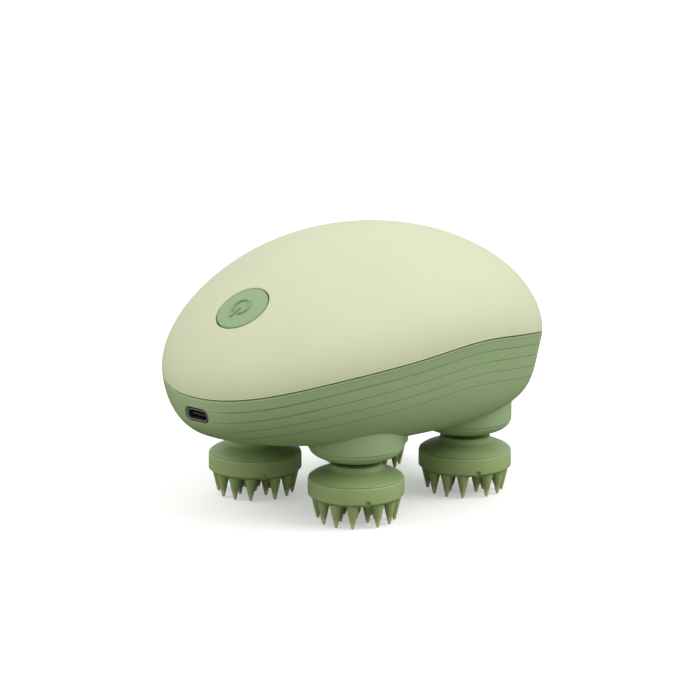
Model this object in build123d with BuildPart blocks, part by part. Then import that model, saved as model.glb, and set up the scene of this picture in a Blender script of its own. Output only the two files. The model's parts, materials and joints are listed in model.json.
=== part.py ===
"""Rechargeable electric scalp massager: an egg-shaped hand grip over four turning heads.

Lengths are in millimetres. +Z is up, -X is the nose with the charging port and the
power button. The origin is on the floor, under the middle of the grip, and the claw
tips rest on z = 0. The four heads stand around the drive's axis, a little behind it.
"""

import os
from math import acos, atan2, cos, degrees, pi, radians, sin, tan

from build123d import *

# ---------------------------------------------------------------- grip form
body_half_length = 66.5
body_half_width = 52.3
plan_power = 2.13  # superellipse power of the outline seen from above
plan_tail_swell = 0.094  # how much wider the tail half is than the nose half
plan_end_trim = -0.030
crown_height = 40.0  # top of the shell above the line from nose to tail
crown_power = 2.08
crown_tail_swell = 0.121
crown_end_trim = -0.166
belly_depth = 21.9  # underside below the line from nose to tail
belly_power = 4.35
belly_tail_swell = 0.058
belly_end_trim = -0.208
belly_squareness = 4.65  # superellipse power of the cross-section under the seam
belly_squareness_gain = 0.55
side_draft = 0.13  # how far the flanks lean in below the seam
side_draft_gain = 0.10
seam_spacing = 25.0  # x distance between the seam's height points
seam_first_x = -70.2
seam_heights = (41.2, 48.9, 53.7, 56.8, 54.9, 50.9, 48.6)
seam_gap = 0.5
wall = 2.2
seam_points = 3  # points of the seam's curve per height point
seam_overrun = 3.0  # the hollows run this far past the seam

# ---------------------------------------------------------------- gears
gear_module = 0.8
central_teeth = 55
output_teeth = 30
reducer_pinion_teeth = 10
wheel_module = 0.5
wheel_teeth = 54
motor_pinion_teeth = 10
backlash = 0.14
pressure_angle = 25.0
tooth_root = 1.25  # tooth depth below the pitch circle, in modules
flank_steps = 4  # straight runs on each tooth flank
drive_x = 4.8  # axis of the central gear
head_spacing_x = 50.3

# ---------------------------------------------------------------- massage heads
head_radius = 15.0
claw_length = 7.3
claw_root_radius = 2.3
claw_tip_radius = 0.45
claw_tip_flat = 0.2
claw_ring_radius = 12.0
claw_inner_radius = 6.0
claw_ring_step = 25.7
claw_groups = 4
claws_per_group = 3
claw_inner_count = 8
claw_turn = 14.0  # turn of the claw pattern about the head's axis
cap_plate = 2.0
cap_height = 6.2
cap_chamfer = 1.1
cap_rim_round = 0.5
cap_wall = 1.6
cap_bead = 1.0  # side of the square bead that holds the cap on its hub
cap_bead_height = 1.7  # middle of the bead above the plate
cap_notch_width = 1.6
cap_notch_height = 2.1
notch_depth = 1.0
claw_slope = 15.0  # tip arc ends where the claw's flank begins, degrees
hub_flange_inset = 0.4  # edge of the hub's dome inside the band's outside
hub_dome_radius = 15.3
hub_dome_base = 0.9  # centre of the dome's ellipse below the top of the band
hub_dome_height = 3.8
hub_neck_radius = 8.1
hub_neck_round = 1.2
hub_neck_gap = 0.5  # neck below the collar's lowest point
hub_bore_floor = 1.5  # hub left under the end of the shaft

# ---------------------------------------------------------------- collars and shafts
collar_edge_z = 23.3
collar_dome = 4.7
collar_wall = 2.2
collar_floor_z = 25.5
collar_room_z = 34.0  # top of the round pocket inside each collar
boss_radius = 7.0
shaft_radius = 2.5
shaft_flat = 0.5  # depth of the D-flat
bush_radius = 4.5
bush_length = 5.5
bush_flange_radius = 5.6
bush_flange = 0.8
seal_radius = 6.0
seal_height = 3.4
seal_depth = 1.4  # seal sits this far inside the collar's mouth
clip_radius = 4.0
clip_thickness = 0.6
clip_groove = 0.4
clip_opening = 3.2
clip_play = 0.3  # clip above the bush
shaft_end = 0.8  # shaft above the clip

# ---------------------------------------------------------------- gearbox
base_plate_z = 32.0
base_plate = 2.0
plate_length = 66.0
plate_width = 64.0
plate_corner = 10.0
plate_lobe = 15.6  # radius of the plates around the reduction wheel
cover_plate_z = 44.5
cover_plate = 2.5
post_x = 8.0
post_y = 27.5
post_radius = 2.8
gear_z = 35.0
gear_face = 4.5
gear_hub_radius = 5.0
gear_play = 0.1  # hubs above the base plate
gear_head_play = 0.3  # hubs below the cover plate
central_hub_head = 0.7  # central gear's hub above its teeth
web_hole_radius = 4.0
web_hole_circle = 13.0
web_hole_count = 6
reducer_foot_radius = 2.8
wheel_z = 40.5
wheel_face = 3.0
central_pin_radius = 2.0
reducer_pin_radius = 1.5
gearbox_screw_radius = 1.25
gearbox_screw_head = 2.3
gearbox_screw_head_height = 1.6
gearbox_screw_length = 18.0
gearbox_pilot = 3.4
shell_post_radius = 3.2

# ---------------------------------------------------------------- motor
motor_radius = 12.1
motor_length = 30.8
motor_can_wall = 1.0
motor_end_cap_height = 2.5
motor_nose_radius = 3.0
motor_nose = 1.6
motor_shaft_radius = 1.0
motor_pinion_face = 2.8
rotor_radius = 8.0
rotor_length = 16.0
magnet_inner_radius = 8.6
magnet_length = 20.0
magnet_gap = 9.0  # between the two magnets
rotor_slot = 2.0
rotor_slot_floor = 4.5
rotor_poles = 3
motor_screw_radius = 1.0
motor_screw_circle = 8.0
motor_screw_head = 1.8
motor_screw_head_height = 1.1
motor_screw_length = 3.2
terminal_width = 2.2
terminal_thickness = 0.5
terminal_height = 4.0
terminal_spread = 6.0

# ---------------------------------------------------------------- battery
cell_radius = 9.2
cell_length = 65.0
cell_x = -9.2
cell_cap_radius = 2.8
cell_cap = 0.6
cradle_length = 34.0
cradle_width = 20.8
cradle_height = 14.0
cradle_floor = 1.2
cell_clearance = 0.1
tab_height = 12.0
tab_width = 7.0
tab_thickness = 0.3

# ---------------------------------------------------------------- charging port
port_z = 37.0
port_recess = 1.0  # metal shell's mouth behind the outside of the wall
port_cutout_width = 9.9
port_cutout_height = 4.1
usb_width = 8.94
usb_height = 3.26
usb_wall = 0.3
usb_length = 7.35
tongue_width = 6.7
tongue_height = 0.7
tongue_recess = 1.1  # tongue behind the metal shell's mouth
usb_back = 1.5  # insulator that closes the metal shell's back
port_gasket_length = 1.6
port_gasket_recess = 0.5  # gasket behind the metal shell's mouth
board_length = 23.0
board_width = 16.0
board_thickness = 1.2
board_gap = 6.4  # from the wall's outside to the board's front edge
board_post_radius = 2.4
board_screw_radius = 0.9
board_screw_inset = 3.2
board_screw_length = 5.0
board_screw_head = 1.8
board_screw_head_height = 1.1
chip_size = 5.0
chip_height = 1.0
coil_radius = 2.4
coil_height = 2.6
socket_length = 4.0
socket_width = 5.0
socket_height = 3.4
board_part_spacing = 0.5

# ---------------------------------------------------------------- power button
button_x = -46.9
slope_step = 1.0
button_radius = 8.95
button_gap = 0.3
button_depth = 4.0  # from the outside of the cover to the underside seat
button_flange = 1.0
button_flange_radius = 10.3
button_travel = 0.5
button_stem_radius = 1.6
button_stem = 0.6
button_seat_radius = 14.4
button_seat_top = 1.9  # depth at which the seat's ring leaves the wall
button_play = 0.05  # flange below its seat when at rest
button_tube_depth = 8.7
button_tube_gap = 0.9  # around the flange
seal_ring_radius = 0.45
seal_ring_depth = 2.7
symbol_radius = 3.0
symbol_line = 0.8
symbol_height = 0.3
symbol_gap = 70.0  # opening of the ring in degrees
symbol_bar = 4.6
symbol_bar_start = 0.6
button_board_radius = 14.2
button_board_thickness = 1.2
button_screw_circle = 12.8
button_screw_radius = 0.8
button_screw_head = 1.4
button_screw_head_height = 0.9
button_screw_length = 4.5
switch_size = 6.0
switch_body = 2.5
plunger_radius = 1.5
plunger_length = 1.4

# ---------------------------------------------------------------- housing screws
housing_screw_spots = ((-41.2, 20.0), (50.8, 17.0))  # one of each mirrored pair
housing_post_radius = 3.6
housing_screw_radius = 1.3
housing_screw_head = 2.5
housing_screw_head_height = 2.0
housing_screw_length = 14.0
housing_screw_socket = 1.2  # half the hex socket's width
housing_overrun = 6.0  # plain round part of the cover's posts above the seam
housing_split_z = 44.0
housing_land_z = 38.0  # underside of the web that the screw head clamps
housing_gap = 0.1  # between the two shells' posts
screw_well_radius = 2.8
plug_height = 2.0

# ---------------------------------------------------------------- fits
fixed_clearance = 0.03  # parts that are pressed, glued or clamped together
running_clearance = 0.03  # shafts in their bushes and gears on their pins
free_clearance = 0.3  # parts that pass without touching
gasket_clearance = 0.12
gasket_inset = 0.7  # gasket behind the outside of the seam
gasket_width = 1.0

os.makedirs("parts", exist_ok=True)


# ================================================================ derived places
def pitch_radius(module, teeth):
    return module * teeth / 2


gear_reach = pitch_radius(gear_module, central_teeth + output_teeth)
head_spacing_y = 2 * (gear_reach**2 - (head_spacing_x / 2) ** 2) ** 0.5
head_places = {
    "nose_left": (drive_x - head_spacing_x / 2, head_spacing_y / 2),
    "nose_right": (drive_x - head_spacing_x / 2, -head_spacing_y / 2),
    "tail_left": (drive_x + head_spacing_x / 2, head_spacing_y / 2),
    "tail_right": (drive_x + head_spacing_x / 2, -head_spacing_y / 2),
}
head_spots = list(head_places.values())
reducer_x = drive_x + pitch_radius(gear_module, central_teeth + reducer_pinion_teeth)
motor_x = reducer_x - pitch_radius(wheel_module, wheel_teeth + motor_pinion_teeth)
plate_top_z = base_plate_z + base_plate
cover_top_z = cover_plate_z + cover_plate
post_places = [(drive_x + x, y) for x in (-post_x, post_x) for y in (-post_y, post_y)]
hub_bottom_z = claw_length + cap_plate
hub_radius = head_radius - cap_wall
hub_rim_z = claw_length + cap_height
hub_top_z = collar_edge_z - collar_dome - hub_neck_gap
shaft_bottom_z = hub_bottom_z + hub_bore_floor
seal_bottom_z = collar_edge_z - collar_dome + seal_depth
seal_top_z = seal_bottom_z + seal_height
bush_bottom_z = base_plate_z - bush_length
gear_foot_z = plate_top_z + gear_play
gear_head_z = cover_plate_z - gear_head_play
clip_z = cover_top_z + bush_flange + clip_play
shaft_top_z = clip_z + clip_thickness + shaft_end
cell_z = cover_top_z + cradle_floor + cell_clearance + cell_radius
housing_spots = [(x, side * y) for x, y in housing_screw_spots for side in (-1, 1)]
upright = (Align.CENTER, Align.CENTER, Align.MIN)
hanging = (Align.CENTER, Align.CENTER, Align.MAX)


# ================================================================ grip form
def arch(s, power):
    """Height of a superellipse arch of unit span and rise at s from -1 to 1."""
    return max(0.0, 1 - abs(s) ** power) ** (1 / power)


def seam_z(x):
    """Height of the seam at x: a smooth cubic through the evenly spaced seam heights."""
    last = len(seam_heights) - 2
    place = (x - seam_first_x) / seam_spacing
    index = min(max(int(place), 0), last)
    t = place - index
    z0, z1 = seam_heights[index], seam_heights[index + 1]
    before = seam_heights[index - 1] if index > 0 else 2 * z0 - z1
    after = seam_heights[index + 2] if index < last else 2 * z1 - z0
    rise0, rise1 = (z1 - before) / 2, (after - z0) / 2
    bend = t**2 * (3 - 2 * t)
    return z0 + (z1 - z0) * bend + rise0 * t * (1 - t) ** 2 - rise1 * t**2 * (1 - t)


def station(s, inset=0.0):
    """Position, half width, crown height and belly height at s along the grip."""
    half_length = body_half_length - inset
    x = half_length * s
    nose, tail = seam_z(-half_length), seam_z(half_length)
    line = nose + (tail - nose) * (s + 1) / 2
    width_swell = 1 + plan_tail_swell * s + plan_end_trim * s**2
    crown_swell = 1 + crown_tail_swell * s + crown_end_trim * s**2
    belly_swell = 1 + belly_tail_swell * s + belly_end_trim * s**2
    half_width = (body_half_width - inset) * arch(s, plan_power) * width_swell
    crown = line + (crown_height - inset) * arch(s, crown_power) * crown_swell
    belly = line - (belly_depth - inset) * arch(s, belly_power) * belly_swell
    return x, half_width, crown, belly


# sections stand where a half turn's angles fall on the length; each has an even number of arcs
station_angles = (4, 9, 16, 25, 35, 46, 58, 70, 82, 94, 106, 118, 130, 142, 152, 162, 171, 176)
flat_end_angle = 3  # where the lower shell's blunt ends are cut square
arc_steps = 12
dome_steps = 8
halvings = 40  # steps that find a height's place on the nose


def upper_points(s, inset, base_shift):
    """Half ellipse of the upper shell, from the right flank over the crown to the left."""
    x, half_width, crown, _ = station(s, inset)
    base = seam_z(x) + base_shift
    angles = [pi * i / arc_steps for i in range(arc_steps + 1)]
    return [(half_width * cos(v), base + (crown - base) * sin(v)) for v in angles]


def lower_points(s, inset, base_shift):
    """Squared half ellipse of the lower shell, from the right flank under to the left."""
    x, half_width, _, belly = station(s, inset)
    base = seam_z(x) + base_shift
    power = belly_squareness * (1 + belly_squareness_gain * s)
    draft = side_draft * (1 + side_draft_gain * s)
    points = []
    for i in range(arc_steps + 1):
        v = pi * i / arc_steps
        side, drop = abs(cos(v)) ** (2 / power), sin(v) ** (2 / power)
        y = half_width * side * (1 - draft * drop)
        points.append((y if i * 2 <= arc_steps else -y, base - (base - belly) * drop))
    return points


def half_form(points_of, inset, base_shift, extend=0.0, flat_ends=False):
    """Half of the grip as a solid, lofted nose to tail, open edge straightened by extend."""
    angles = station_angles
    if flat_ends:
        angles = (flat_end_angle, *station_angles[1:-1], 180 - flat_end_angle)
    with BuildPart() as form:
        sections = []
        for angle in angles:
            s = -cos(radians(angle))
            x = station(s, inset)[0]
            points = points_of(s, inset, base_shift)
            with BuildSketch(Plane.YZ.offset(x)) as section:
                with BuildLine():
                    Spline(*points)
                    if extend:
                        (y0, z0), (y1, z1) = points[0], points[-1]
                        Polyline((y1, z1), (y1, z1 + extend), (y0, z0 + extend), (y0, z0))
                    else:
                        Line(points[-1], points[0])
                make_face()
            sections.append(section.sketch)
        if not extend and not flat_ends:
            half_length = body_half_length - inset
            nose, tail = [Vertex(x, 0, seam_z(x) + base_shift) for x in (-half_length, half_length)]
            sections = [nose, *sections, tail]
        loft(sections=sections)
    return form.part


def crown_z(x, y, inset=0.0):
    """Height of the upper shell's outside, or of a form set in from it, over x, y."""
    _, half_width, crown, _ = station(x / (body_half_length - inset), inset)
    base = seam_z(x) + seam_gap / 2
    return base + (crown - base) * (1 - (y / half_width) ** 2) ** 0.5


def belly_z(x, y):
    """Height of the lower shell's outside over x, y."""
    s = x / body_half_length
    _, half_width, _, belly = station(s)
    base = seam_z(x) - seam_gap / 2
    power = belly_squareness * (1 + belly_squareness_gain * s)
    draft = side_draft * (1 + side_draft_gain * s)
    side = abs(y) / (half_width * (1 - draft))
    return base - (base - belly) * (1 - side**power) ** (1 / power)


def seam_band(low, high):
    """A wavy slab between two heights above the seam, wider than the grip."""
    steps = seam_points * (len(seam_heights) - 1)
    xs = [seam_first_x + seam_spacing * i / seam_points for i in range(steps + 1)]
    with BuildPart() as band:
        with BuildSketch(Plane.XZ.offset(-2 * body_half_width)):
            with BuildLine():
                under = Spline(*[(x, seam_z(x) + low) for x in xs])
                over = Spline(*[(x, seam_z(x) + high) for x in xs])
                Line(under @ 0, over @ 0)
                Line(under @ 1, over @ 1)
            make_face()
        extrude(amount=4 * body_half_width)
    return band.part


def plan_outline(inset):
    """The grip's outline seen from above, set in from the outside, as a flat sketch."""
    spots = [station(-cos(radians(a)), inset)[:2] for a in (0, *station_angles, 180)]
    with BuildSketch() as outline:
        with BuildLine():
            Spline(*spots, *[(x, -y) for x, y in reversed(spots[1:-1])], periodic=True)
        make_face()
    return outline.sketch


def seam_ring(outer_inset, inner_inset, low, high):
    """A closed ring that follows the seam, between two insets from the outside."""
    top = max(seam_heights) + high + 1
    with BuildPart() as ring:
        extrude(plan_outline(outer_inset), amount=top)
        extrude(plan_outline(inner_inset), amount=top, mode=Mode.SUBTRACT)
        add(seam_band(low, high), mode=Mode.INTERSECT)
    return ring.part


# ================================================================ gears
def involute(angle):
    """The involute function of an angle in radians."""
    return tan(angle) - angle


def gear_outline(module, teeth, turn=0.0):
    """Outline of an involute spur gear as a flat sketch, one tooth at the angle turn."""
    pitch = pitch_radius(module, teeth)
    base = pitch * cos(radians(pressure_angle))
    root, tip = pitch - tooth_root * module, pitch + module
    foot = max(base, root)
    radii = [foot + (tip - foot) * i / flank_steps for i in range(flank_steps + 1)]
    half_tooth = (pi * module - backlash) / (4 * pitch) + involute(radians(pressure_angle))
    flank = [(r, half_tooth - involute(acos(min(1, base / r)))) for r in radii]
    if foot > root:
        flank.insert(0, (root, flank[0][1]))
    points = []
    for i in range(teeth):
        middle = radians(turn) + 2 * pi * i / teeth
        points += [(r * cos(middle - half), r * sin(middle - half)) for r, half in flank]
        points += [(r * cos(middle + half), r * sin(middle + half)) for r, half in reversed(flank)]
    with BuildSketch() as outline:
        with BuildLine():
            Polyline(*points, close=True)
        make_face()
    return outline.sketch


def meshed_turn(turn, teeth, direction, other_teeth):
    """Turn of a gear in mesh with one that has the given turn and lies opposite direction."""
    phase = (direction - turn) * teeth / 360 % 1
    return direction + 180 + (phase + 0.5) * 360 / other_teeth


def flatted_disc(x, y, radius):
    """The outline of a shaft with one flat on its tail side, as a flat sketch."""
    with BuildSketch() as outline:
        with Locations((x, y)):
            Circle(radius)
        with Locations((x + radius - shaft_flat, y)):
            Rectangle(2 * shaft_flat, 2 * radius, align=(Align.MIN, Align.CENTER), mode=Mode.SUBTRACT)
    return outline.sketch


def raised(places, z):
    """Points at one height over places given as x, y."""
    return [(x, y, z) for x, y in places]


def bore(radius, depth, align=upright):
    """Cut a round hole at the current places."""
    Cylinder(radius, depth, align=align, mode=Mode.SUBTRACT)


def finish_part(piece, name):
    """Label a finished piece and write its file."""
    piece.part.label = name
    export_step(piece.part, f"parts/{name}.step")


# ================================================================ forms that the shells share
upper_outer = half_form(upper_points, 0, seam_gap / 2)
upper_core = half_form(upper_points, wall / 2, seam_gap / 2)
upper_cavity = half_form(upper_points, wall, seam_gap / 2, extend=-seam_overrun)
symbol_form = half_form(upper_points, -symbol_height, seam_gap / 2)
lower_outer = half_form(lower_points, 0, -seam_gap / 2, flat_ends=True)
lower_core = half_form(lower_points, wall / 2, -seam_gap / 2, flat_ends=True)
lower_cavity = half_form(lower_points, wall, -seam_gap / 2, extend=seam_overrun)

# ---------------------------------------------------------------- places of the button
button_rise = crown_z(button_x + slope_step, 0) - crown_z(button_x - slope_step, 0)
button_tilt = atan2(button_rise, 2 * slope_step)
button_point = Vector(button_x, 0, crown_z(button_x, 0))
button_normal = Vector(-sin(button_tilt), 0, cos(button_tilt))
button_down = Vector(-cos(button_tilt), 0, -sin(button_tilt))


def button_plane(depth):
    """Plane across the button at a depth below the cover, its x axis down to the nose."""
    return Plane(button_point - button_normal * depth, x_dir=button_down, z_dir=button_normal)


def button_screw_planes(depth):
    """Planes at a depth below the cover on which the button board's two screws stand."""
    across = Vector(0, button_screw_circle, 0)
    plane = button_plane(depth)
    return [Plane(plane.origin + side * across, x_dir=button_down, z_dir=button_normal) for side in (-1, 1)]


# ---------------------------------------------------------------- places of the port
def nose_x(z):
    """Where the lower shell's outside meets the middle plane at height z, on the nose."""
    low, high = -body_half_length, -body_half_length / 2
    for _ in range(halvings):
        middle = (low + high) / 2
        if station(middle / body_half_length)[3] > z:
            low = middle
        else:
            high = middle
    return low


port_x = nose_x(port_z)
usb_mouth_x = port_x + port_recess
board_x = port_x + board_gap + board_length / 2
board_z = port_z - usb_height / 2 - board_thickness
board_screw_places = [
    (board_x + board_length / 2 - board_screw_inset, side * (board_width / 2 - board_screw_inset))
    for side in (-1, 1)
]

# ================================================================ lower shell
with BuildPart() as shell_posts:
    with Locations(*raised(post_places, 0)):
        Cylinder(shell_post_radius, base_plate_z, align=upright)
    with Locations(*raised(housing_spots, 0)):
        Cylinder(housing_post_radius, housing_split_z, align=upright)
    with Locations(*raised(board_screw_places, 0)):
        Cylinder(board_post_radius, board_z, align=upright)
    add(lower_core, mode=Mode.INTERSECT)

with BuildPart() as collar:
    with BuildSketch(Plane.XZ):
        with BuildLine():
            dome = EllipticalCenterArc((0, collar_edge_z), head_radius, collar_dome, 270, arc_size=90)
            Line(dome @ 1, (head_radius, collar_room_z))
            Line((head_radius, collar_room_z), (0, collar_room_z))
            Line((0, collar_room_z), dome @ 0)
        make_face()
    revolve(axis=Axis.Z)

with BuildPart() as lower_shell:
    add(lower_outer)
    with Locations(*raised(head_spots, 0)):
        add(collar.part)
    add(lower_cavity, mode=Mode.SUBTRACT)
    with Locations(*raised(head_spots, collar_floor_z)):
        bore(head_radius - collar_wall, collar_room_z - collar_floor_z)
        Cylinder(boss_radius, base_plate_z - collar_floor_z, align=upright)
    add(shell_posts.part)
    # seal, shaft and bush bores
    with Locations(*raised(head_spots, 0)):
        bore(seal_radius, seal_top_z)
        bore(shaft_radius + free_clearance, base_plate_z)
    with Locations(*raised(head_spots, base_plate_z)):
        bore(bush_radius, bush_length, hanging)
    # screw holes
    with Locations(*raised(post_places, base_plate_z)):
        bore(gearbox_screw_radius + fixed_clearance, gearbox_pilot, hanging)
    with Locations(*raised(housing_spots, 0)):
        bore(screw_well_radius, housing_land_z)
        bore(housing_screw_radius + free_clearance, housing_split_z)
    with Locations(*raised(board_screw_places, board_z)):
        bore(board_screw_radius + fixed_clearance, board_screw_length, hanging)
    # charging port
    with BuildSketch(Plane.YZ.offset(port_x - port_recess)):
        with Locations((0, port_z)):
            SlotOverall(port_cutout_width, port_cutout_height)
    extrude(amount=usb_length, mode=Mode.SUBTRACT)
finish_part(lower_shell, "lower_shell")

# ================================================================ top cover
with BuildPart() as cover_posts:
    for x, y in housing_spots:
        with Locations((x, y, 0)):
            Cylinder(housing_post_radius, crown_z(x, 0), align=upright)
    add(upper_core, mode=Mode.INTERSECT)

with BuildPart() as top_cover:
    add(upper_outer)
    add(upper_cavity, mode=Mode.SUBTRACT)
    add(cover_posts.part)
    for x, y in housing_spots:
        with Locations((x, y, housing_split_z + housing_gap)):
            Cylinder(housing_post_radius, seam_z(x) + housing_overrun - housing_split_z, align=upright)
    with Locations(button_plane(button_seat_top)):
        Cylinder(button_seat_radius, button_tube_depth - button_seat_top, align=hanging)
    with Locations(button_plane(-button_depth)):
        bore(button_radius + button_gap, 2 * button_tube_depth, hanging)
    with Locations(button_plane(button_depth)):
        bore(button_flange_radius + button_tube_gap, button_tube_depth, hanging)
    with Locations(*raised(housing_spots, housing_split_z)):
        bore(
            housing_screw_radius + fixed_clearance,
            housing_screw_length - housing_split_z + housing_land_z + free_clearance,
        )
    with Locations(*button_screw_planes(button_tube_depth - button_screw_length)):
        bore(button_screw_radius + fixed_clearance, button_screw_length, hanging)
finish_part(top_cover, "top_cover")

# ================================================================ seam gasket, housing screws and plugs
with BuildPart() as housing_gasket:
    thickness = seam_gap - 2 * gasket_clearance
    add(seam_ring(gasket_inset, gasket_inset + gasket_width, -thickness / 2, thickness / 2))
finish_part(housing_gasket, "housing_gasket")

with BuildPart() as housing_screws:
    with Locations(*raised(housing_spots, housing_land_z - fixed_clearance)):
        Cylinder(housing_screw_head, housing_screw_head_height, align=hanging)
        Cylinder(housing_screw_radius, housing_screw_length, align=upright)
    hex_z = housing_land_z - fixed_clearance - housing_screw_head_height
    with BuildSketch(Plane.XY.offset(hex_z)):
        with Locations(*housing_spots):
            RegularPolygon(housing_screw_socket, 6, major_radius=False)
    extrude(amount=housing_screw_head_height / 2, mode=Mode.SUBTRACT)
finish_part(housing_screws, "housing_screws")

with BuildPart() as screw_plugs:
    with Locations(*raised(housing_spots, 0)):
        Cylinder(screw_well_radius - fixed_clearance, housing_land_z, align=upright)
    add(lower_outer, mode=Mode.INTERSECT)
    for x, y in housing_spots:
        with Locations((x, y, belly_z(x, y) + plug_height)):
            bore(screw_well_radius, housing_land_z)
finish_part(screw_plugs, "screw_plugs")

# ================================================================ power button
with BuildPart() as button_symbol:
    with BuildSketch(button_plane(seal_ring_depth)):
        Circle(symbol_radius + symbol_line / 2)
        Circle(symbol_radius - symbol_line / 2, mode=Mode.SUBTRACT)
        with BuildLine():
            reach = 2 * symbol_radius
            half_gap = radians(symbol_gap / 2)
            corner = (reach * cos(half_gap), reach * sin(half_gap))
            Polyline((0, 0), corner, (corner[0], -corner[1]), close=True)
        make_face(mode=Mode.SUBTRACT)
        with Locations((symbol_bar_start, 0)):
            SlotOverall(symbol_bar - symbol_bar_start, symbol_line, align=(Align.MIN, Align.CENTER))
    extrude(amount=2 * seal_ring_depth)
    add(symbol_form, mode=Mode.INTERSECT)

with BuildPart() as power_button:
    with Locations(button_plane(-button_depth)):
        Cylinder(button_radius, 2 * button_depth + button_play + button_flange / 2, align=hanging)
    add(upper_outer, mode=Mode.INTERSECT)
    add(button_symbol.part)
    with Locations(button_plane(button_depth + button_play)):
        Cylinder(button_flange_radius, button_flange, align=hanging)
        Cylinder(button_stem_radius, button_flange + button_stem, align=hanging)
    groove_floor = button_radius + button_gap - running_clearance - 2 * seal_ring_radius - fixed_clearance
    groove_half = seal_ring_radius + fixed_clearance
    with BuildSketch(button_plane(seal_ring_depth + groove_half)):
        Circle(button_radius + button_gap)
        Circle(groove_floor, mode=Mode.SUBTRACT)
    extrude(amount=2 * groove_half, mode=Mode.SUBTRACT)
finish_part(power_button, "power_button")

with BuildPart() as button_seal:
    with Locations(button_plane(seal_ring_depth)):
        Torus(button_radius + button_gap - running_clearance - seal_ring_radius, seal_ring_radius)
finish_part(button_seal, "button_seal")

stem_end = button_depth + button_play + button_flange + button_stem
plunger_end = stem_end + plunger_length
switch_top = button_tube_depth - switch_body
with BuildPart() as switch_plunger:
    with Locations(button_plane(stem_end)):
        Cylinder(plunger_radius, plunger_length, align=hanging)
finish_part(switch_plunger, "switch_plunger")

with BuildPart() as tact_switch:
    with Locations(button_plane(button_tube_depth - fixed_clearance)):
        Box(switch_size, switch_size, switch_body, align=upright)
    with Locations(button_plane(switch_top - fixed_clearance)):
        bore(
            plunger_radius + running_clearance,
            plunger_end - switch_top + button_travel + free_clearance,
            hanging,
        )
finish_part(tact_switch, "tact_switch")

board_top = button_tube_depth + fixed_clearance
with BuildPart() as button_board:
    with Locations(button_plane(board_top)):
        Cylinder(button_board_radius, button_board_thickness, align=hanging)
    with Locations(*button_screw_planes(board_top)):
        bore(button_screw_radius + fixed_clearance, button_board_thickness, hanging)
finish_part(button_board, "button_board")

board_back = board_top + button_board_thickness + fixed_clearance
with BuildPart() as button_board_screws:
    with Locations(*button_screw_planes(board_back)):
        Cylinder(button_screw_head, button_screw_head_height, align=hanging)
        Cylinder(button_screw_radius, button_screw_length, align=upright)
finish_part(button_board_screws, "button_board_screws")

# ================================================================ charging port and board
with BuildPart() as usb_shell:
    with BuildSketch(Plane.YZ.offset(usb_mouth_x)):
        with Locations((0, port_z)):
            SlotOverall(usb_width, usb_height)
            SlotOverall(usb_width - 2 * usb_wall, usb_height - 2 * usb_wall, mode=Mode.SUBTRACT)
    extrude(amount=usb_length)
finish_part(usb_shell, "usb_shell")

usb_inside = 2 * (usb_wall + fixed_clearance)
with BuildPart() as usb_tongue:
    with BuildSketch(Plane.YZ.offset(usb_mouth_x + usb_length)):
        with Locations((0, port_z)):
            SlotOverall(usb_width - usb_inside, usb_height - usb_inside)
    extrude(amount=-usb_back)
    with BuildSketch(Plane.YZ.offset(usb_mouth_x + tongue_recess)):
        with Locations((0, port_z)):
            Rectangle(tongue_width, tongue_height)
    extrude(amount=usb_length - tongue_recess)
finish_part(usb_tongue, "usb_tongue")

with BuildPart() as port_gasket:
    with BuildSketch(Plane.YZ.offset(usb_mouth_x + port_gasket_recess)):
        with Locations((0, port_z)):
            SlotOverall(port_cutout_width - 2 * fixed_clearance, port_cutout_height - 2 * fixed_clearance)
            SlotOverall(usb_width + 2 * fixed_clearance, usb_height + 2 * fixed_clearance, mode=Mode.SUBTRACT)
    extrude(amount=port_gasket_length)
finish_part(port_gasket, "port_gasket")

with BuildPart() as charge_board:
    with Locations((board_x, 0, board_z + fixed_clearance)):
        Box(board_length, board_width, board_thickness - 2 * fixed_clearance, align=upright)
    with Locations(*raised(board_screw_places, board_z)):
        bore(board_screw_radius + fixed_clearance, board_thickness)
finish_part(charge_board, "charge_board")

chip_z = board_z + board_thickness
socket_x = board_x + board_length / 2 - socket_length
coil_x = socket_x - board_part_spacing - coil_radius
with BuildPart() as charge_board_parts:
    with Locations((board_x, -chip_size, chip_z), (board_x, chip_size, chip_z)):
        Box(chip_size, chip_size, chip_height, align=upright)
    with Locations((coil_x, 0, chip_z)):
        Cylinder(coil_radius, coil_height, align=upright)
    with Locations((board_x - chip_size, 0, chip_z)):
        Box(chip_height, chip_size, chip_height, align=upright)
finish_part(charge_board_parts, "charge_board_parts")

with BuildPart() as battery_socket:
    with Locations((socket_x, 0, chip_z)):
        Box(socket_length, socket_width, socket_height, align=(Align.MIN, Align.CENTER, Align.MIN))
finish_part(battery_socket, "battery_socket")

with BuildPart() as charge_board_screws:
    with Locations(*raised(board_screw_places, chip_z)):
        Cylinder(board_screw_head, board_screw_head_height, align=upright)
        Cylinder(board_screw_radius, board_screw_length, align=hanging)
finish_part(charge_board_screws, "charge_board_screws")

# ================================================================ battery
with BuildPart() as battery_cell:
    with Locations(Plane((cell_x, -cell_length / 2, cell_z), z_dir=(0, 1, 0))):
        Cylinder(cell_radius, cell_length - cell_cap, align=upright)
        Cylinder(cell_cap_radius, cell_length, align=upright)
finish_part(battery_cell, "battery_cell")

with BuildPart() as battery_tabs:
    for side in (-1, 1):
        with Locations((cell_x, side * (cell_length / 2 + fixed_clearance), cell_z)):
            outward = Align.MIN if side > 0 else Align.MAX
            Box(tab_width, tab_thickness, tab_height, align=(Align.CENTER, outward, Align.CENTER))
finish_part(battery_tabs, "battery_tabs")

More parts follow.
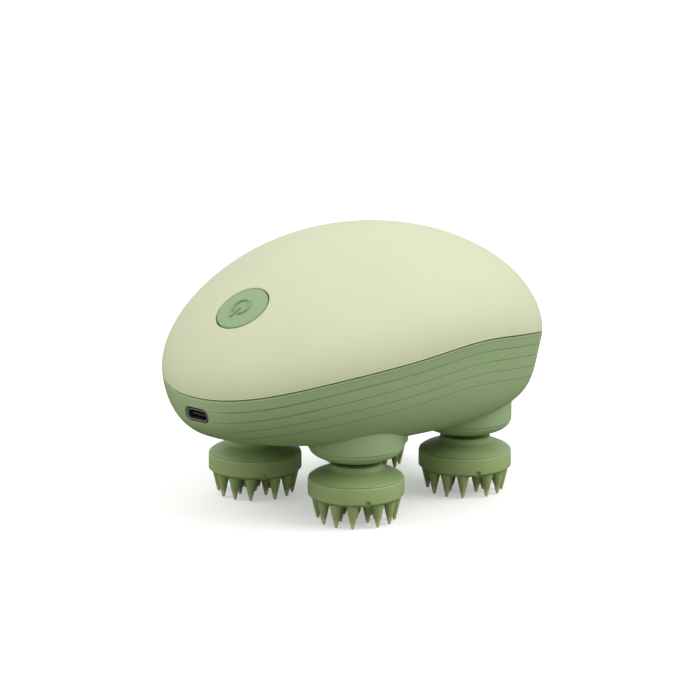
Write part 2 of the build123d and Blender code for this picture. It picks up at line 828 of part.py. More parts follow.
with BuildPart() as battery_cradle:
    with Locations((cell_x, 0, cover_top_z + fixed_clearance)):
        Box(cradle_width, cradle_length, cradle_height, align=upright)
    with Locations(Plane((cell_x, -cell_length / 2, cell_z), z_dir=(0, 1, 0))):
        bore(cell_radius + fixed_clearance, cell_length)
finish_part(battery_cradle, "battery_cradle")


# ================================================================ gearbox
def plate_outline():
    """Outline of both gearbox plates: a rounded square and a lobe over the big wheel."""
    with BuildSketch() as outline:
        with Locations((drive_x, 0)):
            RectangleRounded(plate_length, plate_width, plate_corner)
        with Locations((reducer_x, 0)):
            Circle(plate_lobe)
    return outline.sketch


with BuildPart() as gearbox_base:
    extrude(Pos(Z=base_plate_z + fixed_clearance) * plate_outline(), amount=base_plate - fixed_clearance)
    with Locations(*raised(post_places, plate_top_z)):
        Cylinder(post_radius, cover_plate_z - plate_top_z - fixed_clearance, align=upright)
    with Locations(*raised(post_places, base_plate_z)):
        bore(gearbox_screw_radius + fixed_clearance, cover_plate_z - base_plate_z)
    with Locations(*raised(head_spots, base_plate_z)):
        bore(shaft_radius + free_clearance, base_plate)
    with Locations((drive_x, 0, base_plate_z)):
        bore(central_pin_radius + fixed_clearance, base_plate)
    with Locations((reducer_x, 0, base_plate_z)):
        bore(reducer_pin_radius + fixed_clearance, base_plate)
finish_part(gearbox_base, "gearbox_base")

motor_screw_places = [(motor_x, side * motor_screw_circle) for side in (-1, 1)]
with BuildPart() as gearbox_cover:
    extrude(Pos(Z=cover_plate_z) * plate_outline(), amount=cover_plate)
    with Locations(*raised(post_places, cover_plate_z)):
        bore(gearbox_screw_radius + fixed_clearance, cover_plate)
    with Locations(*raised(head_spots, cover_plate_z)):
        bore(bush_radius + fixed_clearance, cover_plate)
    with Locations((drive_x, 0, cover_plate_z)):
        bore(central_pin_radius + fixed_clearance, cover_plate)
    with Locations((reducer_x, 0, cover_plate_z)):
        bore(reducer_pin_radius + fixed_clearance, cover_plate)
    with Locations((motor_x, 0, cover_plate_z)):
        bore(motor_nose_radius + fixed_clearance, cover_plate)
    with Locations(*raised(motor_screw_places, cover_plate_z)):
        bore(motor_screw_radius + fixed_clearance, cover_plate)
        bore(motor_screw_head + fixed_clearance, motor_screw_head_height + fixed_clearance)
finish_part(gearbox_cover, "gearbox_cover")

with BuildPart() as gearbox_screws:
    with Locations(*raised(post_places, cover_top_z + fixed_clearance)):
        Cylinder(gearbox_screw_head, gearbox_screw_head_height, align=upright)
        Cylinder(gearbox_screw_radius, gearbox_screw_length, align=hanging)
finish_part(gearbox_screws, "gearbox_screws")

with BuildPart() as lower_bushes:
    with Locations(*raised(head_spots, bush_bottom_z)):
        Cylinder(bush_radius - fixed_clearance, bush_length, align=upright)
        bore(shaft_radius + running_clearance, bush_length)
finish_part(lower_bushes, "lower_bushes")

with BuildPart() as upper_bushes:
    with Locations(*raised(head_spots, cover_plate_z)):
        Cylinder(bush_radius, cover_plate + fixed_clearance, align=upright)
    with Locations(*raised(head_spots, cover_top_z + fixed_clearance)):
        Cylinder(bush_flange_radius, bush_flange, align=upright)
    with Locations(*raised(head_spots, cover_plate_z)):
        bore(shaft_radius + running_clearance, cover_plate + fixed_clearance + bush_flange)
finish_part(upper_bushes, "upper_bushes")

with BuildPart() as shaft_seals:
    with Locations(*raised(head_spots, seal_bottom_z)):
        Cylinder(seal_radius - fixed_clearance, seal_height - fixed_clearance, align=upright)
        bore(shaft_radius + running_clearance, seal_height)
finish_part(shaft_seals, "shaft_seals")

with BuildPart() as central_pin:
    with Locations((drive_x, 0, base_plate_z + fixed_clearance)):
        Cylinder(central_pin_radius, cover_top_z - base_plate_z - fixed_clearance, align=upright)
finish_part(central_pin, "central_pin")

with BuildPart() as reduction_pin:
    with Locations((reducer_x, 0, base_plate_z + fixed_clearance)):
        Cylinder(reducer_pin_radius, cover_top_z - base_plate_z - fixed_clearance, align=upright)
finish_part(reduction_pin, "reduction_pin")

with BuildPart() as central_gear:
    extrude(Pos(drive_x, 0, gear_z) * gear_outline(gear_module, central_teeth), amount=gear_face)
    with Locations((drive_x, 0, gear_foot_z)):
        Cylinder(gear_hub_radius, gear_z + gear_face + central_hub_head - gear_foot_z, align=upright)
    with Locations((drive_x, 0, gear_z)):
        with PolarLocations(web_hole_circle, web_hole_count):
            bore(web_hole_radius, gear_face)
    with Locations((drive_x, 0, gear_foot_z)):
        bore(central_pin_radius + running_clearance, cover_plate_z - gear_foot_z)
finish_part(central_gear, "central_gear")

reducer_turn = meshed_turn(0, central_teeth, 0, reducer_pinion_teeth)
with BuildPart() as reduction_wheel:
    pinion_outline = gear_outline(gear_module, reducer_pinion_teeth, reducer_turn)
    extrude(Pos(reducer_x, 0, gear_z) * pinion_outline, amount=wheel_z - gear_z)
    extrude(Pos(reducer_x, 0, wheel_z) * gear_outline(wheel_module, wheel_teeth), amount=wheel_face)
    with Locations((reducer_x, 0, gear_foot_z)):
        Cylinder(reducer_foot_radius, gear_head_z - gear_foot_z, align=upright)
        bore(reducer_pin_radius + running_clearance, gear_head_z - gear_foot_z)
finish_part(reduction_wheel, "reduction_wheel")

# ================================================================ motor
can_top_z = cover_top_z + motor_length - motor_end_cap_height
with BuildPart() as motor_can:
    with Locations((motor_x, 0, cover_top_z + fixed_clearance)):
        Cylinder(motor_radius, can_top_z - cover_top_z - fixed_clearance, align=upright)
    with Locations((motor_x, 0, cover_top_z + fixed_clearance + motor_can_wall)):
        bore(motor_radius - motor_can_wall, motor_length)
    with Locations((motor_x, 0, cover_top_z - motor_nose)):
        Cylinder(motor_nose_radius, motor_nose + motor_can_wall + fixed_clearance, align=upright)
        bore(motor_shaft_radius + running_clearance, motor_length)
    with Locations(*raised(motor_screw_places, cover_top_z)):
        bore(motor_screw_radius + fixed_clearance, 2 * motor_can_wall)
finish_part(motor_can, "motor_can")

with BuildPart() as motor_end_cap:
    with Locations((motor_x, 0, can_top_z + fixed_clearance)):
        Cylinder(motor_radius, motor_end_cap_height, align=upright)
        bore(motor_shaft_radius + running_clearance, motor_end_cap_height)
finish_part(motor_end_cap, "motor_end_cap")

motor_top_z = can_top_z + fixed_clearance + motor_end_cap_height
with BuildPart() as motor_terminals:
    with Locations(*[(motor_x, side * terminal_spread, motor_top_z) for side in (-1, 1)]):
        Box(terminal_width, terminal_thickness, terminal_height, align=upright)
finish_part(motor_terminals, "motor_terminals")

magnet_z = cover_top_z + (can_top_z - cover_top_z - magnet_length) / 2
with BuildPart() as motor_magnets:
    with BuildSketch(Plane.XY.offset(magnet_z)):
        with Locations((motor_x, 0)):
            Circle(motor_radius - motor_can_wall - fixed_clearance)
            Circle(magnet_inner_radius, mode=Mode.SUBTRACT)
            Rectangle(magnet_gap, 2 * motor_radius, mode=Mode.SUBTRACT)
    extrude(amount=magnet_length)
finish_part(motor_magnets, "motor_magnets")

rotor_z = cover_top_z + (can_top_z - cover_top_z - rotor_length) / 2
with BuildPart() as motor_rotor:
    with BuildSketch(Plane.XY.offset(rotor_z)):
        with Locations((motor_x, 0)):
            Circle(rotor_radius)
            Circle(motor_shaft_radius + fixed_clearance, mode=Mode.SUBTRACT)
        with Locations((motor_x, 0)):
            with PolarLocations((rotor_radius + rotor_slot_floor) / 2, rotor_poles):
                Rectangle(rotor_radius - rotor_slot_floor, rotor_slot, mode=Mode.SUBTRACT)
    extrude(amount=rotor_length)
finish_part(motor_rotor, "motor_rotor")

pinion_z = wheel_z + (wheel_face - motor_pinion_face) / 2
with BuildPart() as motor_shaft:
    with Locations((motor_x, 0, pinion_z)):
        Cylinder(motor_shaft_radius, motor_top_z - pinion_z - fixed_clearance, align=upright)
finish_part(motor_shaft, "motor_shaft")

motor_turn = meshed_turn(0, wheel_teeth, 180, motor_pinion_teeth)
with BuildPart() as motor_pinion:
    pinion_outline = gear_outline(wheel_module, motor_pinion_teeth, motor_turn)
    extrude(Pos(motor_x, 0, pinion_z) * pinion_outline, amount=motor_pinion_face)
    with Locations((motor_x, 0, pinion_z)):
        bore(motor_shaft_radius + fixed_clearance, motor_pinion_face)
finish_part(motor_pinion, "motor_pinion")

screw_seat_z = cover_plate_z + motor_screw_head_height
with BuildPart() as motor_screws:
    with Locations(*raised(motor_screw_places, screw_seat_z)):
        Cylinder(motor_screw_head, motor_screw_head_height, align=hanging)
        Cylinder(motor_screw_radius, motor_screw_length, align=upright)
finish_part(motor_screws, "motor_screws")


# ================================================================ massage heads
def claw_places():
    """Places of a head's claws: one in the middle, an inner ring and four outer groups."""
    rings = [(0, 0)]
    for i in range(claw_inner_count):
        rings.append((claw_inner_radius, 360 * (i + 0.5) / claw_inner_count))
    for group in range(claw_groups):
        for i in range(claws_per_group):
            step = (i - (claws_per_group - 1) / 2) * claw_ring_step
            rings.append((claw_ring_radius, 360 * group / claw_groups + step))
    return [
        (radius * cos(radians(angle + claw_turn)), radius * sin(radians(angle + claw_turn)), 0)
        for radius, angle in rings
    ]


def dome_point(radius):
    """A point of the hub's domed top at a radius."""
    rise = hub_dome_height * (1 - (radius / hub_dome_radius) ** 2) ** 0.5
    return radius, hub_rim_z - hub_dome_base + rise


flange_radius = head_radius - hub_flange_inset
dome_width = flange_radius - hub_neck_radius
dome = [dome_point(flange_radius - dome_width * i / dome_steps) for i in range(dome_steps + 1)]
with BuildPart() as hub_form:
    with BuildSketch(Plane.XZ):
        with BuildLine():
            Polyline((0, hub_bottom_z), (hub_radius, hub_bottom_z), (hub_radius, hub_rim_z))
            Polyline((hub_radius, hub_rim_z), (flange_radius, hub_rim_z), dome[0])
            Spline(*dome)
            Polyline(dome[-1], (hub_neck_radius, hub_top_z), (0, hub_top_z), (0, hub_bottom_z))
        make_face()
        neck = vertices().filter_by_position(Axis.X, hub_neck_radius, hub_neck_radius)
        fillet(neck.sort_by(Axis.Y)[0], hub_neck_round)
        with Locations((hub_radius, hub_bottom_z + cap_bead_height)):
            Rectangle(cap_bead, cap_bead, rotation=45, mode=Mode.SUBTRACT)
    revolve(axis=Axis.Z)

claw_root_z = claw_length + cap_plate / 2
tip_round = claw_tip_radius - claw_tip_flat
with BuildPart() as claw:
    with BuildSketch(Plane.XZ):
        with BuildLine():
            tip = CenterArc((claw_tip_flat, tip_round), tip_round, -90, 90 - claw_slope)
            Polyline(tip @ 1, (claw_root_radius, claw_root_z), (0, claw_root_z), (0, 0), tip @ 0)
        make_face()
    revolve(axis=Axis.Z)

with BuildPart() as cap_form:
    with BuildSketch(Plane.XZ):
        with Locations((0, claw_length)):
            Rectangle(head_radius, cap_height - fixed_clearance, align=(Align.MIN, Align.MIN))
        outer = vertices().group_by(Axis.X)[-1].sort_by(Axis.Y)
        chamfer(outer[0], cap_chamfer)
        fillet(outer[-1], cap_rim_round)
    revolve(axis=Axis.Z)
    with Locations((0, 0, claw_length)):
        with PolarLocations(head_radius, claw_groups, start_angle=claw_turn + 180 / claw_groups):
            Box(2 * notch_depth, cap_notch_width, cap_notch_height, align=upright, mode=Mode.SUBTRACT)
    with Locations(*claw_places()):
        add(claw.part)
    add(hub_form.part, mode=Mode.SUBTRACT)

for place, (x, y) in head_places.items():
    direction = degrees(atan2(y, x - drive_x))
    gear_turn = meshed_turn(0, central_teeth, direction, output_teeth)

    with BuildPart() as head_hub:
        add(Pos(x, y, 0) * hub_form.part)
        socket = flatted_disc(x, y, shaft_radius + fixed_clearance)
        extrude(Pos(Z=shaft_bottom_z) * socket, amount=hub_top_z, mode=Mode.SUBTRACT)
    finish_part(head_hub, f"head_hub_{place}")

    with BuildPart() as claw_cap:
        add(Pos(x, y, 0) * cap_form.part)
    finish_part(claw_cap, f"claw_cap_{place}")

    with BuildPart() as output_shaft:
        flatted = flatted_disc(x, y, shaft_radius)
        shaft_foot_z = shaft_bottom_z + fixed_clearance
        extrude(Pos(Z=shaft_foot_z) * flatted, amount=hub_top_z - shaft_foot_z)
        with Locations((x, y, hub_top_z)):
            Cylinder(shaft_radius, gear_foot_z - hub_top_z, align=upright)
        extrude(Pos(Z=gear_foot_z) * flatted, amount=gear_head_z - gear_foot_z)
        with Locations((x, y, gear_head_z)):
            Cylinder(shaft_radius, shaft_top_z - gear_head_z, align=upright)
        with BuildSketch(Plane.XY.offset(clip_z - fixed_clearance)):
            with Locations((x, y)):
                Circle(2 * shaft_radius)
                Circle(shaft_radius - clip_groove, mode=Mode.SUBTRACT)
        extrude(amount=clip_thickness + 2 * fixed_clearance, mode=Mode.SUBTRACT)
    finish_part(output_shaft, f"output_shaft_{place}")

    with BuildPart() as output_gear:
        extrude(Pos(x, y, gear_z) * gear_outline(gear_module, output_teeth, gear_turn), amount=gear_face)
        with Locations((x, y, gear_foot_z)):
            Cylinder(gear_hub_radius, gear_head_z - gear_foot_z, align=upright)
        socket = flatted_disc(x, y, shaft_radius + fixed_clearance)
        extrude(Pos(Z=gear_foot_z) * socket, amount=gear_head_z - gear_foot_z, mode=Mode.SUBTRACT)
    finish_part(output_gear, f"output_gear_{place}")

    with BuildPart() as shaft_clip:
        with Locations((x, y, clip_z)):
            Cylinder(clip_radius, clip_thickness, align=upright)
            bore(shaft_radius - clip_groove + fixed_clearance, clip_thickness)
            Box(
                clip_radius,
                clip_opening,
                clip_thickness,
                align=(Align.MIN, Align.CENTER, Align.MIN),
                mode=Mode.SUBTRACT,
            )
    finish_part(shaft_clip, f"shaft_clip_{place}")
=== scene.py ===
"""Electric scalp massager: the finish of the grip, the button and the four clawed heads.

Lengths are in millimetres up to the moment a mesh is written, which is in metres.
-X is the nose with the charging port, +Z is up, and the claw tips stand on z = 0.
"""

import json

import bmesh
import bpy
import numpy as np
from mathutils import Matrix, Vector


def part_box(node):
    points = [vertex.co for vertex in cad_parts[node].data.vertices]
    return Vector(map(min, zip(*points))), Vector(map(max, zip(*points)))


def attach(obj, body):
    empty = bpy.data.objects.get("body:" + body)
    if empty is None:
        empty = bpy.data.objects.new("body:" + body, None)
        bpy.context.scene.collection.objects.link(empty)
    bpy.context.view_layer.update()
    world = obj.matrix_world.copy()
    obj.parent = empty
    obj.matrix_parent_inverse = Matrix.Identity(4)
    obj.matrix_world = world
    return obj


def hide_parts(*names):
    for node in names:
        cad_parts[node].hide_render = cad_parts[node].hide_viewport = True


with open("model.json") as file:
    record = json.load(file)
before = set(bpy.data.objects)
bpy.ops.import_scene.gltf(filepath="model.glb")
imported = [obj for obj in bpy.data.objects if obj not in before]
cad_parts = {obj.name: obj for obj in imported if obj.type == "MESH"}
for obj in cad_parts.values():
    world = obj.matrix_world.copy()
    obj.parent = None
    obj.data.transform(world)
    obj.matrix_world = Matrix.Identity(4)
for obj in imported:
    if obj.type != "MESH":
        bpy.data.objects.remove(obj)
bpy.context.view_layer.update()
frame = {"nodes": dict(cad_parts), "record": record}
mm = 0.001

# ---------------------------------------------------------------- camera
# A long lens a little above the grip, turned half way between the nose and the right
# flank, so that three of the four heads show.
camera_azimuth, camera_elevation = -45.32, 12.11
camera_distance, camera_lens, film_width = 796.0, 128.06, 36.0
camera_target = Vector((0.13, 0.0, 47.07)) * mm


def towards(azimuth, elevation):
    """Direction out to an azimuth and an elevation in degrees: x is the sine of the first
    and y minus its cosine, both times the cosine of the second, and z is the second's sine."""
    a, e = np.radians(azimuth), np.radians(elevation)
    return Vector((np.sin(a) * np.cos(e), -np.cos(a) * np.cos(e), np.sin(e)))


def aimed_inwards(back):
    """The turn of a camera or lamp that looks back along a direction, upright."""
    return (-back).to_track_quat("-Z", "Y").to_euler()


camera_data = bpy.data.cameras.new("camera")
camera_data.lens = camera_lens
camera_data.sensor_width = film_width
camera_data.clip_start, camera_data.clip_end = 0.01, 20.0
camera = bpy.data.objects.new("camera", camera_data)
bpy.context.scene.collection.objects.link(camera)
camera_back = towards(camera_azimuth, camera_elevation)
camera.location = camera_target + camera_back * camera_distance * mm
camera.rotation_euler = aimed_inwards(camera_back)
bpy.context.scene.camera = camera

# ---------------------------------------------------------------- lower shell
# The green lower half of the egg-shaped grip, moulded in ABS with a soft-touch coat. Four
# fine lines run under the seam, a round collar stands over each head, and the housing
# screws go up through plugged wells.
half_length, half_width_most, plan_power, plan_swell, plan_trim = 66.5, 52.3, 2.13, 0.094, -0.030
crown_height, crown_power, crown_swell, crown_trim = 40.0, 2.08, 0.121, -0.166
belly_depth, belly_power, belly_swell, belly_trim = 21.9, 4.35, 0.058, -0.208
belly_squareness, squareness_gain, side_draft, draft_gain = 4.65, 0.55, 0.13, 0.10
seam_step, seam_first_x = 25.0, -70.2
seam_heights = np.array([41.2, 48.9, 53.7, 56.8, 54.9, 50.9, 48.6])
seam_gap, lip_round, wall = 0.36, 0.32, 2.2
section_halvings, drop_halvings = 36, 30


def seam_z(x):
    """Seam height at x: a cubic through evenly spaced heights, its slope at each of them
    half the difference of the two beside it."""
    first = 2 * seam_heights[0] - seam_heights[1]
    last = 2 * seam_heights[-1] - seam_heights[-2]
    heights = np.concatenate([[first], seam_heights, [last]])
    place = (np.asarray(x, float) - seam_first_x) / seam_step
    index = np.clip(np.floor(place).astype(int), 0, len(seam_heights) - 2)
    t = place - index
    before, z0, z1, after = (heights[index + i] for i in range(4))
    smooth = z0 + (z1 - z0) * t**2 * (3 - 2 * t)
    return smooth + (z1 - before) / 2 * t * (1 - t) ** 2 - (after - z0) / 2 * t**2 * (1 - t)


def bow(s, most, power, swell, trim):
    """A superellipse arch over s from -1 to 1, (1 - |s|^power)^(1/power), times its greatest
    height, made fuller or slimmer by 1 + swell s + trim s^2."""
    arch = np.maximum(0, 1 - np.abs(s) ** power) ** (1 / power)
    return most * arch * (1 + swell * s + trim * s**2)


def station(x, inset=0.0):
    """Half width, crown height and belly height at x: bows over the length, the last two
    measured from a straight line between the seam's two ends."""
    reach = half_length - inset
    s = np.clip(np.asarray(x, float) / reach, -1, 1)
    line = seam_z(-reach) + (seam_z(reach) - seam_z(-reach)) * (s + 1) / 2
    width = bow(s, half_width_most - inset, plan_power, plan_swell, plan_trim)
    crown = bow(s, crown_height - inset, crown_power, crown_swell, crown_trim)
    belly = bow(s, belly_depth - inset, belly_power, belly_swell, belly_trim)
    return width, line + crown, line - belly


def lower_z(x, y, inset=0.0):
    """Height of the lower half over x, y. The section is y = width cos^k (1 - draft sin^k),
    z = base - depth sin^k with k = 2 / power; the angle for a given y is found by halving."""
    width, _, belly = station(x, inset)
    s = np.clip(np.asarray(x, float) / (half_length - inset), -1, 1)
    base = seam_z(x) - seam_gap / 2
    k = 2 / (belly_squareness * (1 + squareness_gain * s))
    draft = side_draft * (1 + draft_gain * s)
    low = np.zeros(np.broadcast(x, y).shape)
    high = np.full(low.shape, np.pi / 2)
    for _ in range(section_halvings):
        v = (low + high) / 2
        wide = width * np.cos(v) ** k * (1 - draft * np.sin(v) ** k) > np.abs(y)
        low, high = np.where(wide, v, low), np.where(wide, high, v)
    return base - np.maximum(base - belly, 0) * np.sin(high) ** k


def rim(turn, inset=0.0):
    """Outline of the grip seen from above: x = -reach cos(turn), y = width(x) with the sign
    of sin(turn), so that turn 0 is the nose and a quarter turn is the left flank."""
    x = -(half_length - inset) * np.cos(turn)
    return x, np.sign(np.sin(turn)) * station(x, inset)[0]


def points_at(x, y, z):
    """Points from their three coordinates, given as arrays or as single numbers."""
    return np.stack(np.broadcast_arrays(x, y, z), axis=-1)


def ring_mesh(name, rings, close=False):
    """A mesh from an array of rings (rings, points, 3): quads between neighbours, the last
    ring joined to the first if close, otherwise a closing point in the middle of each end."""
    count, size = rings.shape[:2]
    index = np.arange(count * size).reshape(count, size)
    following = np.roll(index, -1, axis=1)
    below = np.roll(index, -1, axis=0) if close else index[1:]
    below_next = np.roll(following, -1, axis=0) if close else following[1:]
    upper = index if close else index[:-1]
    upper_next = following if close else following[:-1]
    points = rings.reshape(-1, 3)
    quads = np.stack([upper, upper_next, below_next, below], axis=-1)
    faces = quads.reshape(-1, 4).tolist()
    if not close:
        middles = np.stack([rings[0].mean(axis=0), rings[-1].mean(axis=0)])
        points = np.concatenate([points, middles])
        first, last = count * size, count * size + 1
        faces += np.stack([np.full(size, first), following[0], index[0]], axis=-1).tolist()
        faces += np.stack([np.full(size, last), index[-1], following[-1]], axis=-1).tolist()
    mesh = bpy.data.meshes.new(name)
    mesh.from_pydata((points * mm).tolist(), [], faces)
    mesh.polygons.foreach_set("use_smooth", np.ones(len(mesh.polygons), bool))
    mesh.update()
    return mesh


def outward(mesh):
    """Turn every face of a closed mesh outwards."""
    same_point = 1e-7
    work = bmesh.new()
    work.from_mesh(mesh)
    bmesh.ops.remove_doubles(work, verts=work.verts, dist=same_point)
    bmesh.ops.recalc_face_normals(work, faces=work.faces)
    work.to_mesh(mesh)
    work.free()
    return mesh


def turned(profile, centre, points):
    """Rings of a solid of revolution about a vertical axis, from (radius, height) pairs."""
    turn = np.linspace(0, 2 * np.pi, points, endpoint=False)
    radius, height = np.array(profile, float).T[..., None]
    x, y = centre[0] + radius * np.cos(turn), centre[1] + radius * np.sin(turn)
    return points_at(x, y, height)


def joined(name, meshes):
    """Several closed meshes as one mesh."""
    work = bmesh.new()
    for mesh in meshes:
        work.from_mesh(mesh)
    result = bpy.data.meshes.new(name)
    work.to_mesh(result)
    work.free()
    return result


def combined(target, tool_mesh, operation):
    """The mesh of target joined with, or cut by, a closed tool mesh."""
    holder = bpy.data.objects.new("holder", target)
    tool = bpy.data.objects.new("tool", tool_mesh)
    for item in (holder, tool):
        bpy.context.scene.collection.objects.link(item)
    modifier = holder.modifiers.new("cut", "BOOLEAN")
    modifier.operation = operation
    modifier.solver = "EXACT"
    modifier.use_self = False
    modifier.object = tool
    bpy.context.view_layer.update()
    evaluated = holder.evaluated_get(bpy.context.evaluated_depsgraph_get())
    result = bpy.data.meshes.new_from_object(evaluated)
    for item in (holder, tool):
        bpy.data.objects.remove(item)
    return result


def without_slivers(mesh, least=0.002):
    """Points closer than the least distance become one, and faces of no area go."""
    work = bmesh.new()
    work.from_mesh(mesh)
    bmesh.ops.remove_doubles(work, verts=work.verts, dist=least * mm)
    bmesh.ops.triangulate(work, faces=[face for face in work.faces if len(face.verts) > 4])
    bmesh.ops.dissolve_degenerate(work, edges=work.edges, dist=least * mm)
    work.to_mesh(mesh)
    work.free()


# the outer form as one solid: a lid across the seam, the rounded lip, the flank with its
# lines, and the belly
line_count, line_pitch, line_width, line_depth = 4, 3.63, 0.55, 0.45
line_end_y, line_full_y, line_margin, half_line = 2.0, 16.0, 0.12, line_width / 2
columns, belly_rings = 480, 60
turns = np.linspace(0, 2 * np.pi, columns, endpoint=False) + 0.5 * 2 * np.pi / columns


def lower_ring_at_drop(drop):
    """Where the lower surface lies one drop below the seam: on each spoke of the rim the
    share of the way out is found by halving."""
    edge_x, edge_y = rim(turns)
    low, high = np.zeros(columns), np.ones(columns)
    for _ in range(drop_halvings):
        share = (low + high) / 2
        x, y = edge_x * share, edge_y * share
        deep = seam_z(x) - seam_gap / 2 - lower_z(x, y) > drop
        low, high = np.where(deep, share, low), np.where(deep, high, share)
    x, y = edge_x * high, edge_y * high
    return x, y, seam_z(x) - seam_gap / 2 - drop


def line_ring(drop):
    """The ring at one drop, moved inwards where a line is cut: depth times one minus the
    square of the distance from the line's middle, fading out towards the port."""
    x, y, z = lower_ring_at_drop(drop)
    nearest = np.clip(np.round(drop / line_pitch), 1, line_count)
    offset = abs(drop / line_pitch - nearest) * line_pitch
    cut = line_depth * np.clip(1 - (offset / half_line) ** 2, 0, 1)
    rise = np.clip((np.abs(y) - line_end_y) / (line_full_y - line_end_y), 0, 1)
    fade = np.where(x < 0, rise**2 * (3 - 2 * rise), 1)
    shrink = 1 - cut * fade / np.hypot(x, y)
    return points_at(x * shrink, y * shrink, z)


lid_x, lid_y = rim(turns, wall)
shell_rings = []
for share in (0.3, 0.6, 0.85, 1.0):
    x, y = lid_x * share, lid_y * share
    shell_rings.append(points_at(x, y, seam_z(x) - seam_gap / 2))
for lean in np.radians((90, 72, 54, 36, 18)):
    x, y = rim(turns, lip_round * (1 - np.cos(lean)))
    z = seam_z(x) - seam_gap / 2 - lip_round * (1 - np.sin(lean))
    shell_rings.append(points_at(x, y, z))
drops = [lip_round, 1.2, 2.0, 2.7]
for i in range(line_count):
    middle = line_pitch * (i + 1)
    drops += [middle - half_line - line_margin, middle - half_line, middle - half_line / 2, middle,
              middle + half_line / 2, middle + half_line, middle + half_line + line_margin]
    if i < line_count - 1:
        drops += [middle + line_pitch * share for share in (0.35, 0.5, 0.65)]
shell_rings += [line_ring(drop) for drop in drops]
last_x, last_y, _ = lower_ring_at_drop(drops[-1])
for share in 1 - np.linspace(0, 1, belly_rings)[1:-1]:
    x, y = last_x * share, last_y * share
    shell_rings.append(points_at(x, y, lower_z(x, y)))
shell_mesh = outward(ring_mesh("lower_shell_body", np.array(shell_rings)))

# the room inside, one wall thickness in, open upwards
room_top_z, room_rows, room_pole = 75.0, 40, 0.02
room_rings = [points_at(lid_x, lid_y, room_top_z)]
for t in np.linspace(1, room_pole, room_rows):
    share = 1 - (1 - t) ** 2
    x, y = lid_x * share, lid_y * share
    room_rings.append(points_at(x, y, lower_z(x, y, wall)))
room = outward(ring_mesh("room", np.array(room_rings)))

# the collars over the heads, solid at first: a dome under a rounded edge and a straight side
head_names = ("nose_left", "nose_right", "tail_left", "tail_right")
head_radius, collar_points = 15.0, 128
collar_edge_z, collar_dome, collar_side_z, collar_top_z = 23.3, 4.7, 30.0, 34.0
collar_edge_round, collar_pole = 0.4, 0.3


def middle_of(node):
    """Middle of a node's box seen from above."""
    low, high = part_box(node)
    return tuple((low[i] + high[i]) / 2 / mm for i in (0, 1))


head_places = {name: middle_of(f"head_hub_{name}") for name in head_names}
collar_profile = [(collar_pole, collar_edge_z - collar_dome)]
collar_profile += [
    ((head_radius - collar_edge_round) * np.sin(v), collar_edge_z - collar_dome * np.cos(v))
    for v in np.radians(np.linspace(2, 86, 22))
]
collar_profile += [
    (head_radius - collar_edge_round * (1 - np.sin(v)),
     collar_edge_z + collar_edge_round * (1 - np.cos(v)))
    for v in np.radians(np.linspace(0, 90, 5))
]
collar_profile += [(head_radius, collar_side_z), (head_radius, collar_top_z),
                   (collar_pole, collar_top_z)]
collars = joined("collars", [
    outward(ring_mesh("collar", turned(collar_profile, spot, collar_points)))
    for spot in head_places.values()
])

# what is cut out over each head: seal seat, shaft hole, bush seat, and the pocket round its boss
seal_radius, seal_top_z, shaft_hole, bush_radius, bush_bottom_z = 6.0, 23.4, 2.8, 4.5, 26.5
boss_radius, boss_top_z, pocket_radius = 7.0, 32.0, 12.8
pocket_floor_z, pocket_top_z = 25.5, 34.1
tool_bottom_z, tool_pole, bore_points, well_points = 10.0, 0.1, 96, 64
bore_profile = [
    (tool_pole, tool_bottom_z), (seal_radius, tool_bottom_z), (seal_radius, seal_top_z),
    (shaft_hole, seal_top_z), (shaft_hole, bush_bottom_z), (bush_radius, bush_bottom_z),
    (bush_radius, boss_top_z), (boss_radius, boss_top_z), (boss_radius, pocket_floor_z),
    (pocket_radius, pocket_floor_z), (pocket_radius, pocket_top_z), (tool_pole, pocket_top_z),
]
bores = joined("bores", [
    outward(ring_mesh("bore", turned(bore_profile, spot, bore_points)))
    for spot in head_places.values()
])

# the wells of the four housing screws
well_radius, well_top_z = 2.8, 38.0
well_spots = [(x, side * y) for x, y in ((-41.2, 20.0), (50.8, 17.0)) for side in (-1, 1)]
well_profile = [(tool_pole, tool_bottom_z), (well_radius, tool_bottom_z),
                (well_radius, well_top_z), (tool_pole, well_top_z)]
wells = joined("wells", [
    outward(ring_mesh("well", turned(well_profile, spot, well_points))) for spot in well_spots
])

# the port's opening: a slot with a small sloped lead-in where it meets the outside
port_x, port_z, cutout_width, cutout_height, lead_in = -66.37, 37.0, 10.6, 4.3, 0.6
slot_front_x, slot_back_x = -75.0, -58.0


def stadium(width, height, points=48):
    """Outline of a slot with round ends across X: half circles joined by straight runs."""
    turn = np.linspace(0, 2 * np.pi, points, endpoint=False) + np.pi / points
    radius = height / 2
    y = radius * np.cos(turn) + np.sign(np.cos(turn)) * (width / 2 - radius)
    return y, radius * np.sin(turn)


slot_rings = []
for x, grow in ((slot_front_x, 2 * lead_in), (port_x - lead_in, 2 * lead_in),
                (port_x + lead_in, 0.0), (slot_back_x, 0.0)):
    slot_y, slot_z = stadium(cutout_width + grow, cutout_height + grow)
    slot_rings.append(points_at(x, slot_y, port_z + slot_z))
slot = outward(ring_mesh("slot", np.array(slot_rings)))

shell_crease = np.radians(34)
shell_mesh = combined(shell_mesh, collars, "UNION")
for tool_mesh in (room, bores, wells, slot):
    shell_mesh = combined(shell_mesh, tool_mesh, "DIFFERENCE")
without_slivers(shell_mesh)
shell_mesh.polygons.foreach_set("use_smooth", np.ones(len(shell_mesh.polygons), bool))
shell_mesh.set_sharp_from_angle(angle=shell_crease)

first_colour, second_colour, mixed_colour = 6, 7, 2  # a Mix node's sockets for colours


